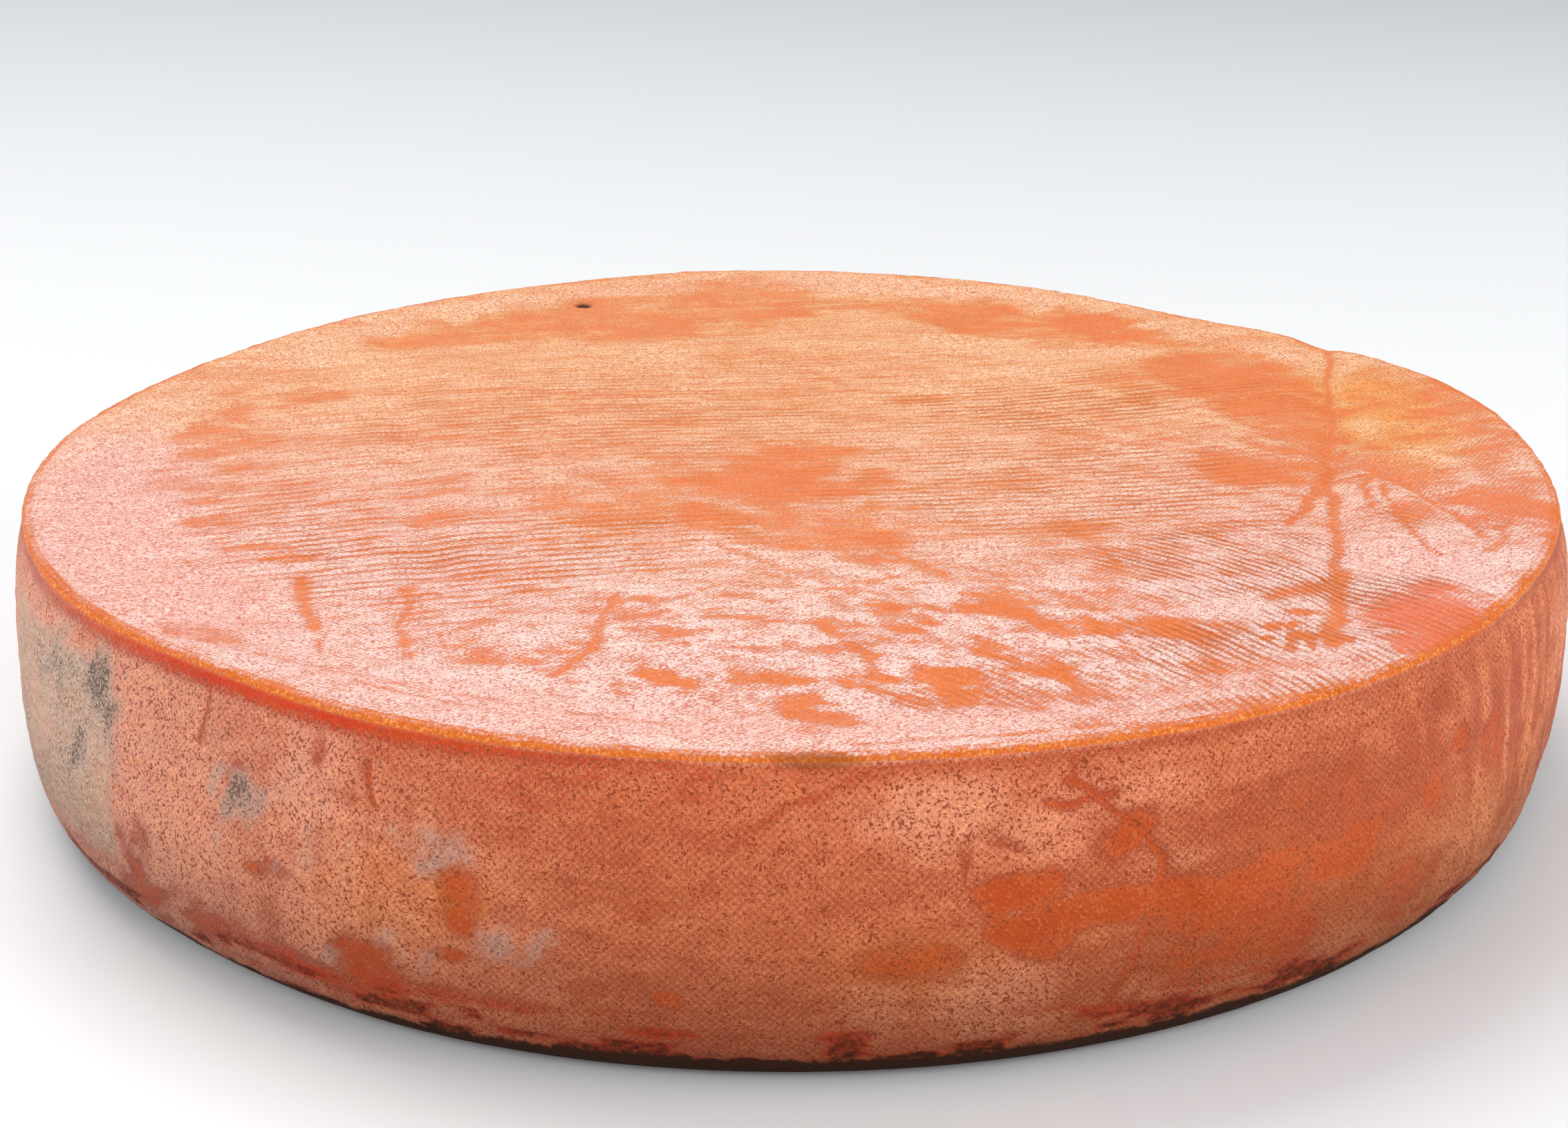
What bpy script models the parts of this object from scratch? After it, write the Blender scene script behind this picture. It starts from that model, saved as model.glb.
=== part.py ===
"""A whole wheel of washed-rind tomme, lying on its base.

Metres, +Z up. The origin is the middle of the base, on the surface that the wheel rests on.
The wheel is turned from one profile and then made uneven: its outline isn't quite round, the
top is dished and creased, and the side has the shallow dents and folds that the press cloth left.
"""

import math

import bmesh
import bpy

MM = 0.001

# Driving sizes
RIM_RADIUS = 155 * MM
HEIGHT = 59 * MM
BULGE = 4.0 * MM
BULGE_LEVEL = 0.43
BASE_RADIUS = 147 * MM
BASE_FLAT_RADIUS = 141 * MM
BASE_ROUNDING = 2.3

# The rim: a worn bead that stands proud of the dished top and of the neck under it
BEAD_RADIUS = 2.4 * MM
NECK_DEPTH = 0.7 * MM
NECK_HEIGHT = 9 * MM
MARGIN_WIDTH = 26 * MM
DISH_DEPTH = 1.8 * MM
CROWN = 0.8 * MM

# Rings of the turned profile, and columns round the wheel
COLUMNS = 128
TOP_RINGS = 15
TOP_CROWDING = 1.35
BEAD_RINGS = 4
SIDE_RINGS = 12
MERGE_DISTANCE = 0.01 * MM

# How each kind of unevenness fades: heights as shares of HEIGHT, reaches as shares of RIM_RADIUS
OUTLINE_AT_BASE = 0.35
SIDE_REACH = 0.9
SIDE_REACH_FADE = 0.06
SIDE_FADE_HEIGHT = 0.25
TOP_FADE_FROM = 0.6
TOP_FADE_TO = 0.96

# Places round the rim that are pulled in (-) or pushed out (+): angle and width in degrees,
# counted from +X towards +Y, then depth
OUTLINE_SPOTS = (
    (49, 14, -5.0 * MM),
    (14, 15, 4.2 * MM),
    (97, 13, 3.4 * MM),
    (151, 19, -2.6 * MM),
    (231, 11, -2.4 * MM),
    (308, 24, 2.0 * MM),
    (347, 14, 1.4 * MM),
)
RIM_SAG_ANGLE = 50
RIM_SAG_WIDTH = 14
RIM_SAG = 0.6 * MM

# Waves round the side: how many to a turn, phase in radians, height
SIDE_WAVES = (
    (5, 0.6, 0.45 * MM),
    (8, 2.1, 0.35 * MM),
    (13, 4.4, 0.22 * MM),
)

# Furrows that folds of the cloth pressed into the top: points in plan, width, depth
TOP_FURROWS = (
    (((128, 82), (120, 33), (110, -26), (97, -94)), 5.5 * MM, 1.3 * MM),
    (((118, 14), (108, -22), (98, -42)), 4.5 * MM, 0.7 * MM),
    (((121, -6), (130, -32), (132, -50)), 4.5 * MM, 0.7 * MM),
    (((-99, 100), (-66, -72)), 4.0 * MM, 0.4 * MM),
)

# Furrows in the side: points as (angle in degrees, height), width, depth
SIDE_FURROWS = (
    (((287, 47), (292, 37), (292.5, 20)), 4.5 * MM, 0.9 * MM),
    (((262, 53), (256, 40), (251, 31)), 5.0 * MM, 0.6 * MM),
    (((274, 52), (266, 42), (262, 33)), 5.0 * MM, 0.6 * MM),
)

RIND_COLOUR = (0.75, 0.27, 0.135, 1.0)
RIND_ROUGHNESS = 0.62


def smooth(share):
    """A share from 0 to 1, eased at both ends."""
    share = min(max(share, 0.0), 1.0)
    return share * share * (3 - 2 * share)


def bell(distance, width):
    """1 at no distance, falling to about a third at the width."""
    return math.exp(-((distance / width) ** 2))


def turn_between(angle, other):
    """The turn from one angle to another, in degrees, by the shorter way."""
    return (angle - other + 180) % 360 - 180


def distance_to_path(point, path):
    """How far a point lies from a run of straight pieces."""
    nearest = math.inf
    for (ax, ay), (bx, by) in zip(path, path[1:]):
        dx, dy = bx - ax, by - ay
        along = ((point[0] - ax) * dx + (point[1] - ay) * dy) / (dx * dx + dy * dy)
        along = min(max(along, 0.0), 1.0)
        nearest = min(nearest, math.hypot(point[0] - ax - along * dx, point[1] - ay - along * dy))
    return nearest


def side_radius(height):
    """The side's radius at a height, without the neck: a bulge, widest at BULGE_LEVEL."""
    widest = RIM_RADIUS + BULGE
    level = BULGE_LEVEL * HEIGHT
    if height >= level:
        rise = (height - level) / (HEIGHT - level)
        return widest - BULGE * rise**2
    drop = (level - height) / level
    return BASE_RADIUS + (widest - BASE_RADIUS) * (1 - drop**BASE_ROUNDING) ** (1 / BASE_ROUNDING)


def profile():
    """The turned outline as (radius, height), from the middle of the top to the middle of the base."""
    bead_middle = RIM_RADIUS - BEAD_RADIUS
    points = []
    for ring in range(TOP_RINGS):
        # Rings lie closer together towards the rim
        inwards = (1 - ring / TOP_RINGS) ** TOP_CROWDING
        points.append((bead_middle * (1 - inwards), HEIGHT))
    for ring in range(BEAD_RINGS + 1):
        lean = math.pi / 2 * ring / BEAD_RINGS
        points.append(
            (bead_middle + BEAD_RADIUS * math.sin(lean), HEIGHT - BEAD_RADIUS * (1 - math.cos(lean)))
        )
    for ring in range(1, SIDE_RINGS):
        # Rings lie closer together at the neck and where the base rounds in
        turn = math.pi * ring / SIDE_RINGS
        height = (HEIGHT - BEAD_RADIUS) * (1 + math.cos(turn)) / 2
        neck = NECK_DEPTH * bell(height - (HEIGHT - NECK_HEIGHT / 2), NECK_HEIGHT / 3)
        points.append((side_radius(height) - neck, height))
    points.append((BASE_FLAT_RADIUS, 0.0))
    points.append((BASE_FLAT_RADIUS / 2, 0.0))
    points.append((0.0, 0.0))
    return points


def outline_change(angle):
    """How much the radius departs from a true circle at an angle in degrees."""
    return sum(depth * bell(turn_between(angle, at), wide) for at, wide, depth in OUTLINE_SPOTS)


def top_change(x, y, radius, angle):
    """How much the top face rises or falls at a point in plan."""
    inwards = (RIM_RADIUS - radius) / MARGIN_WIDTH
    change = -DISH_DEPTH * smooth(inwards)
    change += CROWN * (1 - smooth(radius / RIM_RADIUS))
    sag = bell(turn_between(angle, RIM_SAG_ANGLE), RIM_SAG_WIDTH)
    change -= RIM_SAG * sag * smooth(radius / RIM_RADIUS)
    for path, width, depth in TOP_FURROWS:
        change -= depth * bell(distance_to_path((x / MM, y / MM), path), width / MM)
    return change


def side_change(angle, height):
    """How much the side swells or sinks at an angle and a height."""
    turn = math.radians(angle)
    waves = sum(high * math.sin(count * turn + phase) for count, phase, high in SIDE_WAVES)
    change = waves * math.sin(math.pi * height / HEIGHT)
    # A degree of angle in millimetres round the side
    degree = math.radians(1) * RIM_RADIUS / MM
    point = (angle * degree, height / MM)
    for path, width, depth in SIDE_FURROWS:
        flat_path = [(at * degree, high) for at, high in path]
        change -= depth * bell(distance_to_path(point, flat_path), width / MM)
    return change


def shape_wheel(bm):
    """Turns the round wheel into the uneven one."""
    for vert in bm.verts:
        x, y, height = vert.co
        radius = math.hypot(x, y)
        if radius == 0:
            continue
        angle = math.degrees(math.atan2(y, x)) % 360
        level = height / HEIGHT
        reach = radius / RIM_RADIUS
        # The mould's board keeps the base rounder than the rim
        outline_share = smooth(OUTLINE_AT_BASE + (1 - OUTLINE_AT_BASE) * level)
        side_share = smooth((reach - SIDE_REACH) / SIDE_REACH_FADE) * smooth(level / SIDE_FADE_HEIGHT)
        top_share = smooth((level - TOP_FADE_FROM) / (TOP_FADE_TO - TOP_FADE_FROM))
        spread = outline_change(angle) * outline_share * reach
        spread += side_change(angle, height) * side_share
        vert.co.x += x / radius * spread
        vert.co.y += y / radius * spread
        vert.co.z += top_change(x, y, radius, angle) * top_share


def centre_on_base(bm):
    """Puts the middle of the wheel's extent over the origin."""
    for axis in (0, 1):
        places = [vert.co[axis] for vert in bm.verts]
        middle = (min(places) + max(places)) / 2
        for vert in bm.verts:
            vert.co[axis] -= middle


def rind_material():
    material = bpy.data.materials.new("rind")
    material.use_nodes = True
    shader = material.node_tree.nodes["Principled BSDF"]
    shader.inputs["Base Color"].default_value = RIND_COLOUR
    shader.inputs["Roughness"].default_value = RIND_ROUGHNESS
    shader.inputs["Metallic"].default_value = 0.0
    return material


def make_wheel():
    """The wheel: the profile is spun round +Z, welded at its seam and poles, and shaped."""
    bm = bmesh.new()
    verts = [bm.verts.new((radius, 0.0, height)) for radius, height in profile()]
    edges = [bm.edges.new(pair) for pair in zip(verts, verts[1:])]
    bmesh.ops.spin(
        bm,
        geom=verts + edges,
        cent=(0, 0, 0),
        axis=(0, 0, 1),
        angle=math.tau,
        steps=COLUMNS,
    )
    bmesh.ops.remove_doubles(bm, verts=bm.verts, dist=MERGE_DISTANCE)
    shape_wheel(bm)
    centre_on_base(bm)
    bmesh.ops.recalc_face_normals(bm, faces=bm.faces)
    mesh = bpy.data.meshes.new("cheese_wheel")
    bm.to_mesh(mesh)
    bm.free()
    mesh.shade_smooth()
    mesh.materials.append(rind_material())
    wheel = bpy.data.objects.new("cheese_wheel", mesh)
    bpy.context.scene.collection.objects.link(wheel)
    return wheel


for leftover in list(bpy.data.objects):
    bpy.data.objects.remove(leftover)
make_wheel()
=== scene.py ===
# %% [markdown]
# # A wheel of washed-rind tomme
#
# The object is one whole cheese: a flat drum about 32 cm across, pressed in a cloth, then washed
# and turned on a shelf for months. Its looks come from three things: the print of the cloth, a
# pinkish bloom that grows on the damp rind, and the places where the bloom was rubbed away.
# The solid comes first. It is loaded as it was packed, and everything below is fitted to its box.

# %% Load the solid
import math

import bpy
import numpy as np
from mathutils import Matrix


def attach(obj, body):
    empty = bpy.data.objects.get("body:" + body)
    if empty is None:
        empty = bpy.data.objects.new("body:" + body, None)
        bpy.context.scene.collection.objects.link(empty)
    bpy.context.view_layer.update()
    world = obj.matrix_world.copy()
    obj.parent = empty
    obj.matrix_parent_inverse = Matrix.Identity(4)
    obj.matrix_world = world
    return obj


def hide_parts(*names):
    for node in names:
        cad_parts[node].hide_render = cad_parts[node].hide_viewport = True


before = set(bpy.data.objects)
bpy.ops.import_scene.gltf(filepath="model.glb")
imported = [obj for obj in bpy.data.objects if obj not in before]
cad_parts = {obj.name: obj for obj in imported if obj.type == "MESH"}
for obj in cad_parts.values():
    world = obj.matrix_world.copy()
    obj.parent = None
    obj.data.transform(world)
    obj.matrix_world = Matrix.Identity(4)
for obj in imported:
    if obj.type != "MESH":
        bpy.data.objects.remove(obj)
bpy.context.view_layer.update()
MM = 0.001

# %% [markdown]
# ## Camera, floor and light
#
# The photograph looks down on the wheel by about twenty degrees from half a metre away, which makes
# the near edge loom. The light is broad. One large lamp stands for a bright sky over the far left,
# and three weak ones stand for what pale surroundings throw back from the near side, the left and
# the right. A sky texture would also do, but lamps of known size and place are easier to match: the
# side of the wheel sits in soft shade, and its contact shadow is dark.

# %% Camera
FRAME_WIDTH = 2268
FOCAL_PIXELS = 3600
SENSOR = 36.0
CAMERA_PLACE = (-1.6 * MM, -499.0 * MM, 217.3 * MM)
CAMERA_DOWN = 20.4

camera = bpy.data.objects.new("camera", bpy.data.cameras.new("camera"))
camera.data.sensor_width = SENSOR
camera.data.lens = FOCAL_PIXELS / FRAME_WIDTH * SENSOR
camera.data.clip_start = 0.01
camera.location = CAMERA_PLACE
camera.rotation_euler = (math.radians(90 - CAMERA_DOWN), 0, 0)
bpy.context.scene.collection.objects.link(camera)
bpy.context.scene.camera = camera
print("lens, mm:", round(camera.data.lens, 1))


# %% Floor
NEAR_FLOOR = (0.83, 0.84, 0.85)
# The far tone is painted shade: the floor greys towards the back
SHADED_FAR_FLOOR = (0.40, 0.41, 0.43)
# Where the floor's painted shade starts and stops getting greyer, in metres along Y
FLOOR_FADE = (-0.5, 1.7)
FLOOR_HALF_WIDTH = 4.0


def plain_material(name, colour, roughness):
    """A Principled finish of one colour and one roughness."""
    material = bpy.data.materials.new(name)
    material.use_nodes = True
    shader = material.node_tree.nodes["Principled BSDF"]
    shader.inputs["Base Color"].default_value = (*colour, 1)
    shader.inputs["Roughness"].default_value = roughness
    return material


def floor_material():
    """A pale floor with painted shade that greys it away from the camera: the place along Y, eased from
    0 to 1 between the two ends of the fade, mixes the near tone into the far, shaded one."""
    material = plain_material("pale_floor", NEAR_FLOOR, 0.7)
    nodes, links = material.node_tree.nodes, material.node_tree.links
    place, split = nodes.new("ShaderNodeTexCoord"), nodes.new("ShaderNodeSeparateXYZ")
    fade, tones = nodes.new("ShaderNodeMapRange"), nodes.new("ShaderNodeMix")
    fade.interpolation_type = "SMOOTHSTEP"
    fade.inputs["From Min"].default_value, fade.inputs["From Max"].default_value = FLOOR_FADE
    tones.data_type = "RGBA"
    tones.inputs[6].default_value = (*NEAR_FLOOR, 1)
    tones.inputs[7].default_value = (*SHADED_FAR_FLOOR, 1)
    links.new(place.outputs["Object"], split.inputs[0])
    links.new(split.outputs["Y"], fade.inputs["Value"])
    links.new(fade.outputs[0], tones.inputs[0])
    links.new(tones.outputs[2], nodes["Principled BSDF"].inputs["Base Color"])
    return material


def add_floor(half_width):
    """One square at height 0, the floor that the wheel stands on."""
    corners = [(-half_width, -half_width, 0), (half_width, -half_width, 0)]
    corners += [(half_width, half_width, 0), (-half_width, half_width, 0)]
    mesh = bpy.data.meshes.new("floor")
    mesh.from_pydata(corners, [], [(0, 1, 2, 3)])
    mesh.materials.append(floor_material())
    floor = bpy.data.objects.new("floor", mesh)
    bpy.context.scene.collection.objects.link(floor)


add_floor(FLOOR_HALF_WIDTH)
print("floor, metres across:", 2 * FLOOR_HALF_WIDTH)


# %% Lamps and world
WORLD_COLOUR = (0.92, 0.96, 1.0, 1)
WORLD_STRENGTH = 0.5
WARM_WHITE = (1.0, 0.98, 0.96)
# Name, place and width in metres, power in watts, colour
LAMPS = (
    ("sky_lamp", (-1.2, 2.1, 3.1), 3.0, 122, (1.0, 0.99, 0.97)),
    ("fill_lamp", (0.15, -1.5, 0.9), 1.2, 9, WARM_WHITE),
    ("left_lamp", (-1.5, -0.55, 0.6), 1.0, 9, WARM_WHITE),
    ("right_lamp", (1.5, -0.45, 0.6), 1.0, 14, WARM_WHITE),
)


def add_lamp(name, place, width, power, colour):
    """A square lamp that faces the middle of the wheel: tilted by the angle whose tangent is its
    distance in plan over its height, then turned to its own bearing."""
    lamp = bpy.data.objects.new(name, bpy.data.lights.new(name, "AREA"))
    lamp.data.size = width
    lamp.data.energy = power
    lamp.data.color = colour
    lamp.location = place
    x, y, z = place
    lamp.rotation_euler = (math.atan2(math.hypot(x, y), z), 0, math.atan2(y, x) + math.pi / 2)
    bpy.context.scene.collection.objects.link(lamp)


for lamp_settings in LAMPS:
    add_lamp(*lamp_settings)
world = bpy.data.worlds.new("world")
world.use_nodes = True
backdrop = world.node_tree.nodes["Background"]
backdrop.inputs["Color"].default_value = WORLD_COLOUR
backdrop.inputs["Strength"].default_value = WORLD_STRENGTH
bpy.context.scene.world = world
bpy.context.scene.view_settings.view_transform = "Standard"

# %% [markdown]
# ## The form of the wheel
#
# The solid was turned from a profile and then made uneven, by sums of soft bells at named places.
# The same rules are repeated here on whole arrays, because the surface below needs them at nearly
# two hundred thousand points. A sculpted mesh would also do, but it couldn't be checked against the
# solid, and these rules can.

# %% Sizes, as in the solid
RIM_RADIUS = 155 * MM
HEIGHT = 59 * MM
BULGE = 4.0 * MM
BULGE_LEVEL = 0.43
BASE_RADIUS = 147 * MM
BASE_ROUNDING = 2.3
BEAD_RADIUS = 2.4 * MM
NECK_DEPTH = 0.7 * MM
NECK_HEIGHT = 9 * MM
MARGIN_WIDTH = 26 * MM
DISH_DEPTH = 1.8 * MM
CROWN = 0.8 * MM
OUTLINE_AT_BASE = 0.35
SIDE_FADE_HEIGHT = 0.25
TOP_FADE_FROM = 0.6
TOP_FADE_TO = 0.96
# Angle and width in degrees, then depth
OUTLINE_SPOTS = (
    (49, 14, -5.0 * MM),
    (14, 15, 4.2 * MM),
    (97, 13, 3.4 * MM),
    (151, 19, -2.6 * MM),
    (231, 11, -2.4 * MM),
    (308, 24, 2.0 * MM),
    (347, 14, 1.4 * MM),
)
RIM_SAG_ANGLE = 50
RIM_SAG_WIDTH = 14
RIM_SAG = 0.6 * MM
SIDE_WAVES = ((5, 0.6, 0.45 * MM), (8, 2.1, 0.35 * MM), (13, 4.4, 0.22 * MM))
MAIN_CREASE = ((128, 82), (120, 33), (110, -26), (97, -94))
TOP_FURROWS = (
    (MAIN_CREASE, 5.5, 1.3 * MM),
    (((118, 14), (108, -22), (98, -42)), 4.5, 0.7 * MM),
    (((121, -6), (130, -32), (132, -50)), 4.5, 0.7 * MM),
    (((-99, 100), (-66, -72)), 4.0, 0.4 * MM),
)
SIDE_FURROWS = (
    (((287, 47), (292, 37), (292.5, 20)), 4.5, 0.9 * MM),
    (((262, 53), (256, 40), (251, 31)), 5.0, 0.6 * MM),
    (((274, 52), (266, 42), (262, 33)), 5.0, 0.6 * MM),
)
# Millimetres round the side for each degree of angle
DEGREE = math.radians(1) * RIM_RADIUS / MM


# %% Rules, on whole arrays
def smooth(share):
    """Three times the square of the share less twice its cube, held between 0 and 1."""
    share = np.clip(share, 0.0, 1.0)
    return share * share * (3 - 2 * share)


def bell(distance, width):
    """e to the power of minus the square of distance over width."""
    return np.exp(-((distance / width) ** 2))


def turn_between(angle, other):
    """The turn from one angle to another in degrees, by the shorter way, from -180 to 180."""
    return (angle - other + 180) % 360 - 180


def distance_to_path(x, y, path):
    """The least distance from each point to a run of straight pieces, each held at its ends."""
    nearest = np.full(np.shape(x), np.inf)
    for (ax, ay), (bx, by) in zip(path, path[1:]):
        dx, dy = bx - ax, by - ay
        along = np.clip(((x - ax) * dx + (y - ay) * dy) / (dx * dx + dy * dy), 0, 1)
        nearest = np.minimum(nearest, np.hypot(x - ax - along * dx, y - ay - along * dy))
    return nearest


def side_radius(height):
    """Above the widest level a parabola, below it an arch of the rounding's power."""
    widest = RIM_RADIUS + BULGE
    level = BULGE_LEVEL * HEIGHT
    rise = np.clip((height - level) / (HEIGHT - level), 0, 1)
    drop = np.clip((level - height) / level, 0, 1)
    arch = (1 - drop**BASE_ROUNDING) ** (1 / BASE_ROUNDING)
    below = BASE_RADIUS + (widest - BASE_RADIUS) * arch
    return np.where(height >= level, widest - BULGE * rise**2, below)


def near(angle, at, wide):
    """A bell of the turn from one angle to another, all in degrees."""
    return bell(turn_between(angle, at), wide)


print("widest radius, mm:", round(float(side_radius(np.array(BULGE_LEVEL * HEIGHT))) / MM, 1))


# %% The uneven wheel
def outline_change(angle):
    """How much the radius departs from a circle: the sum of a bell for each spot of the outline."""
    return sum(depth * near(angle, at, wide) for at, wide, depth in OUTLINE_SPOTS)


def top_change(x, y, radius, angle):
    """The dish inside the margin, a low crown, the sag of the rim and the furrows, added up."""
    change = -DISH_DEPTH * smooth((RIM_RADIUS - radius) / MARGIN_WIDTH)
    outwards = smooth(radius / RIM_RADIUS)
    change = change + CROWN * (1 - outwards)
    change -= RIM_SAG * near(angle, RIM_SAG_ANGLE, RIM_SAG_WIDTH) * outwards
    for path, width, depth in TOP_FURROWS:
        change -= depth * bell(distance_to_path(x / MM, y / MM, path), width)
    return change


def side_change(angle, height):
    """Waves round the side, strongest at half height, less the furrows."""
    turn = np.radians(angle)
    waves = sum(high * np.sin(count * turn + phase) for count, phase, high in SIDE_WAVES)
    change = waves * np.sin(np.pi * height / HEIGHT)
    for path, width, depth in SIDE_FURROWS:
        flat_path = [(at * DEGREE, high) for at, high in path]
        change -= depth * bell(distance_to_path(angle * DEGREE, height / MM, flat_path), width)
    return change


def place(radius, angle, height, on_side):
    """Points of the uneven wheel from those of the round one. on_side is 1 on the side, 0 on top."""
    level = height / HEIGHT
    spread = outline_change(angle) * smooth(OUTLINE_AT_BASE + (1 - OUTLINE_AT_BASE) * level)
    spread = spread * radius / RIM_RADIUS
    spread += side_change(angle, height) * on_side * smooth(level / SIDE_FADE_HEIGHT)
    turn = np.radians(angle)
    x, y = radius * np.cos(turn), radius * np.sin(turn)
    rise = top_change(x, y, radius, angle)
    rise *= smooth((level - TOP_FADE_FROM) / (TOP_FADE_TO - TOP_FADE_FROM))
    out = radius + spread
    return np.stack([out * np.cos(turn), out * np.sin(turn), height + rise], -1)


changes = outline_change(np.arange(360)) / MM
print("the outline departs from a circle, mm:", round(changes.min(), 1), "to", round(changes.max(), 1))

# %% [markdown]
# ## Soft random values
#
# Nothing on a ripened rind is even, so each rule below is disturbed by a soft random field. Blender's
# noise nodes do that in a material. For shapes the same is made with numpy: random numbers on
# a lattice, eased between its points. It is seeded, so that each run gives the same wheel.

# %% Mottle
LATTICE = 256


def mottle(x, y, grain, seed, octaves=3):
    """Values about 0 to 1. A lattice of random numbers lies grain apart, its four nearest are mixed
    by eased shares, and each further octave is half as coarse and half as strong."""
    total, strength, weight = 0.0, 1.0, 0.0
    for octave in range(octaves):
        numbers = np.random.default_rng(seed + 31 * octave).random((LATTICE, LATTICE))
        across, up = np.asarray(x) / grain, np.asarray(y) / grain
        i, j = np.floor(across).astype(int), np.floor(up).astype(int)
        s, t = smooth(across - i), smooth(up - j)
        i, j, i1, j1 = i % LATTICE, j % LATTICE, (i + 1) % LATTICE, (j + 1) % LATTICE
        low = numbers[i, j] * (1 - s) + numbers[i1, j] * s
        high = numbers[i, j1] * (1 - s) + numbers[i1, j1] * s
        total = total + strength * (low * (1 - t) + high * t)
        weight += strength
        strength *= 0.5
        grain = grain * 0.5
    return total / weight


def raggedness(x, y, grain=9.0):
    """What is added to a spot's reach to make its rim ragged: a mottle spread over about -0.6 to 0.6."""
    return 1.5 * (mottle(x, y, grain, 11, 4) - 0.5)


def spot(x, y, cx, cy, half_x, half_y, turn=0.0, edge=0.45, ragged=0.0):
    """A soft ellipse: 1 inside, easing to 0 where the reach, which is 1 on the ellipse, goes from
    1 - edge to 1 + edge."""
    lean = math.radians(turn)
    dx, dy = x - cx, y - cy
    along = dx * math.cos(lean) + dy * math.sin(lean)
    across = dy * math.cos(lean) - dx * math.sin(lean)
    reach = np.hypot(along / half_x, across / half_y) + ragged
    return smooth((1 + edge - reach) / (2 * edge))


def stroke(x, y, path, width):
    """A soft band along a path: 1 on the path, falling straight to 0 at the width. A mottle makes it
    wander by a millimetre or so."""
    wander = 3.4 * (mottle(x, y, 8.0, 23, 3) - 0.5)
    return np.clip(1 - distance_to_path(x + wander, y - wander, path) / width, 0, 1)


def added(x, y, places):
    """The sum of soft spots, each given as its place, its edge and its level."""
    return sum(level * spot(x, y, *where) for *where, level in places)


print("mottle at one point:", round(float(mottle(3.0, 4.0, 9.0, 11)), 3))

# %% [markdown]
# ## The print of the cloth
#
# Fresh curd takes the weave of the cloth that it is pressed in. Two families of threads cross on the
# top. One runs from left to right, a little uphill, in long ribs. The other shows at the right front,
# where the cloth was gathered: its ribs are arcs round a point just beyond the near edge. Each family
# gets one coordinate along its threads and one across them, in millimetres, so that ribs, streaks
# and weave can all follow it. An image could hold the print, but it would blur when seen closely.

# %% Thread coordinates
RIB_PITCH = 2.7
CURVED_RIB_PITCH = 1.85
RIB_SLOPE = 10
# The point that the curved ribs run round, and the radius at which lengths along them are true
CURVE_PIVOT = (-10, -160)
CURVE_RADIUS = 100


def top_threads(x, y):
    """(along, across) the long ribs, then the same for the curved ribs, in mm. The long ribs climb by
    the slope, plus two slow sines. On the curved ribs, along is the angle round the pivot times the
    radius, and across is the distance from the pivot."""
    lean = math.radians(RIB_SLOPE)
    across = y * math.cos(lean) - x * math.sin(lean)
    across = across + 3.2 * np.sin(x / 31 + 0.5) * smooth((y + 150) / 200)
    across = across + 2.4 * np.sin(x / 47 + y / 39)
    along = x * math.cos(lean) + y * math.sin(lean)
    from_x, from_y = x - CURVE_PIVOT[0], y - CURVE_PIVOT[1]
    return (along, across), (np.arctan2(from_x, from_y) * CURVE_RADIUS, np.hypot(from_x, from_y))


print("ribs over the top:", round(2 * RIM_RADIUS / MM / RIB_PITCH))

# %% [markdown]
# ## Marks on the top
#
# The bloom is thick in some places and rubbed off in others. Each mark has its place from the
# photograph, in millimetres from the middle of the top with the far side up: a patch is an ellipse,
# a scratch is a path. They raise or lower one value, called bare, which the rind's material later
# cuts at a half with fine noise, so that a soft patch gets the crisp, flaky edge of real bloom.
# A painted image would take fewer lines, but it would fix one sharpness for every distance.

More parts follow.
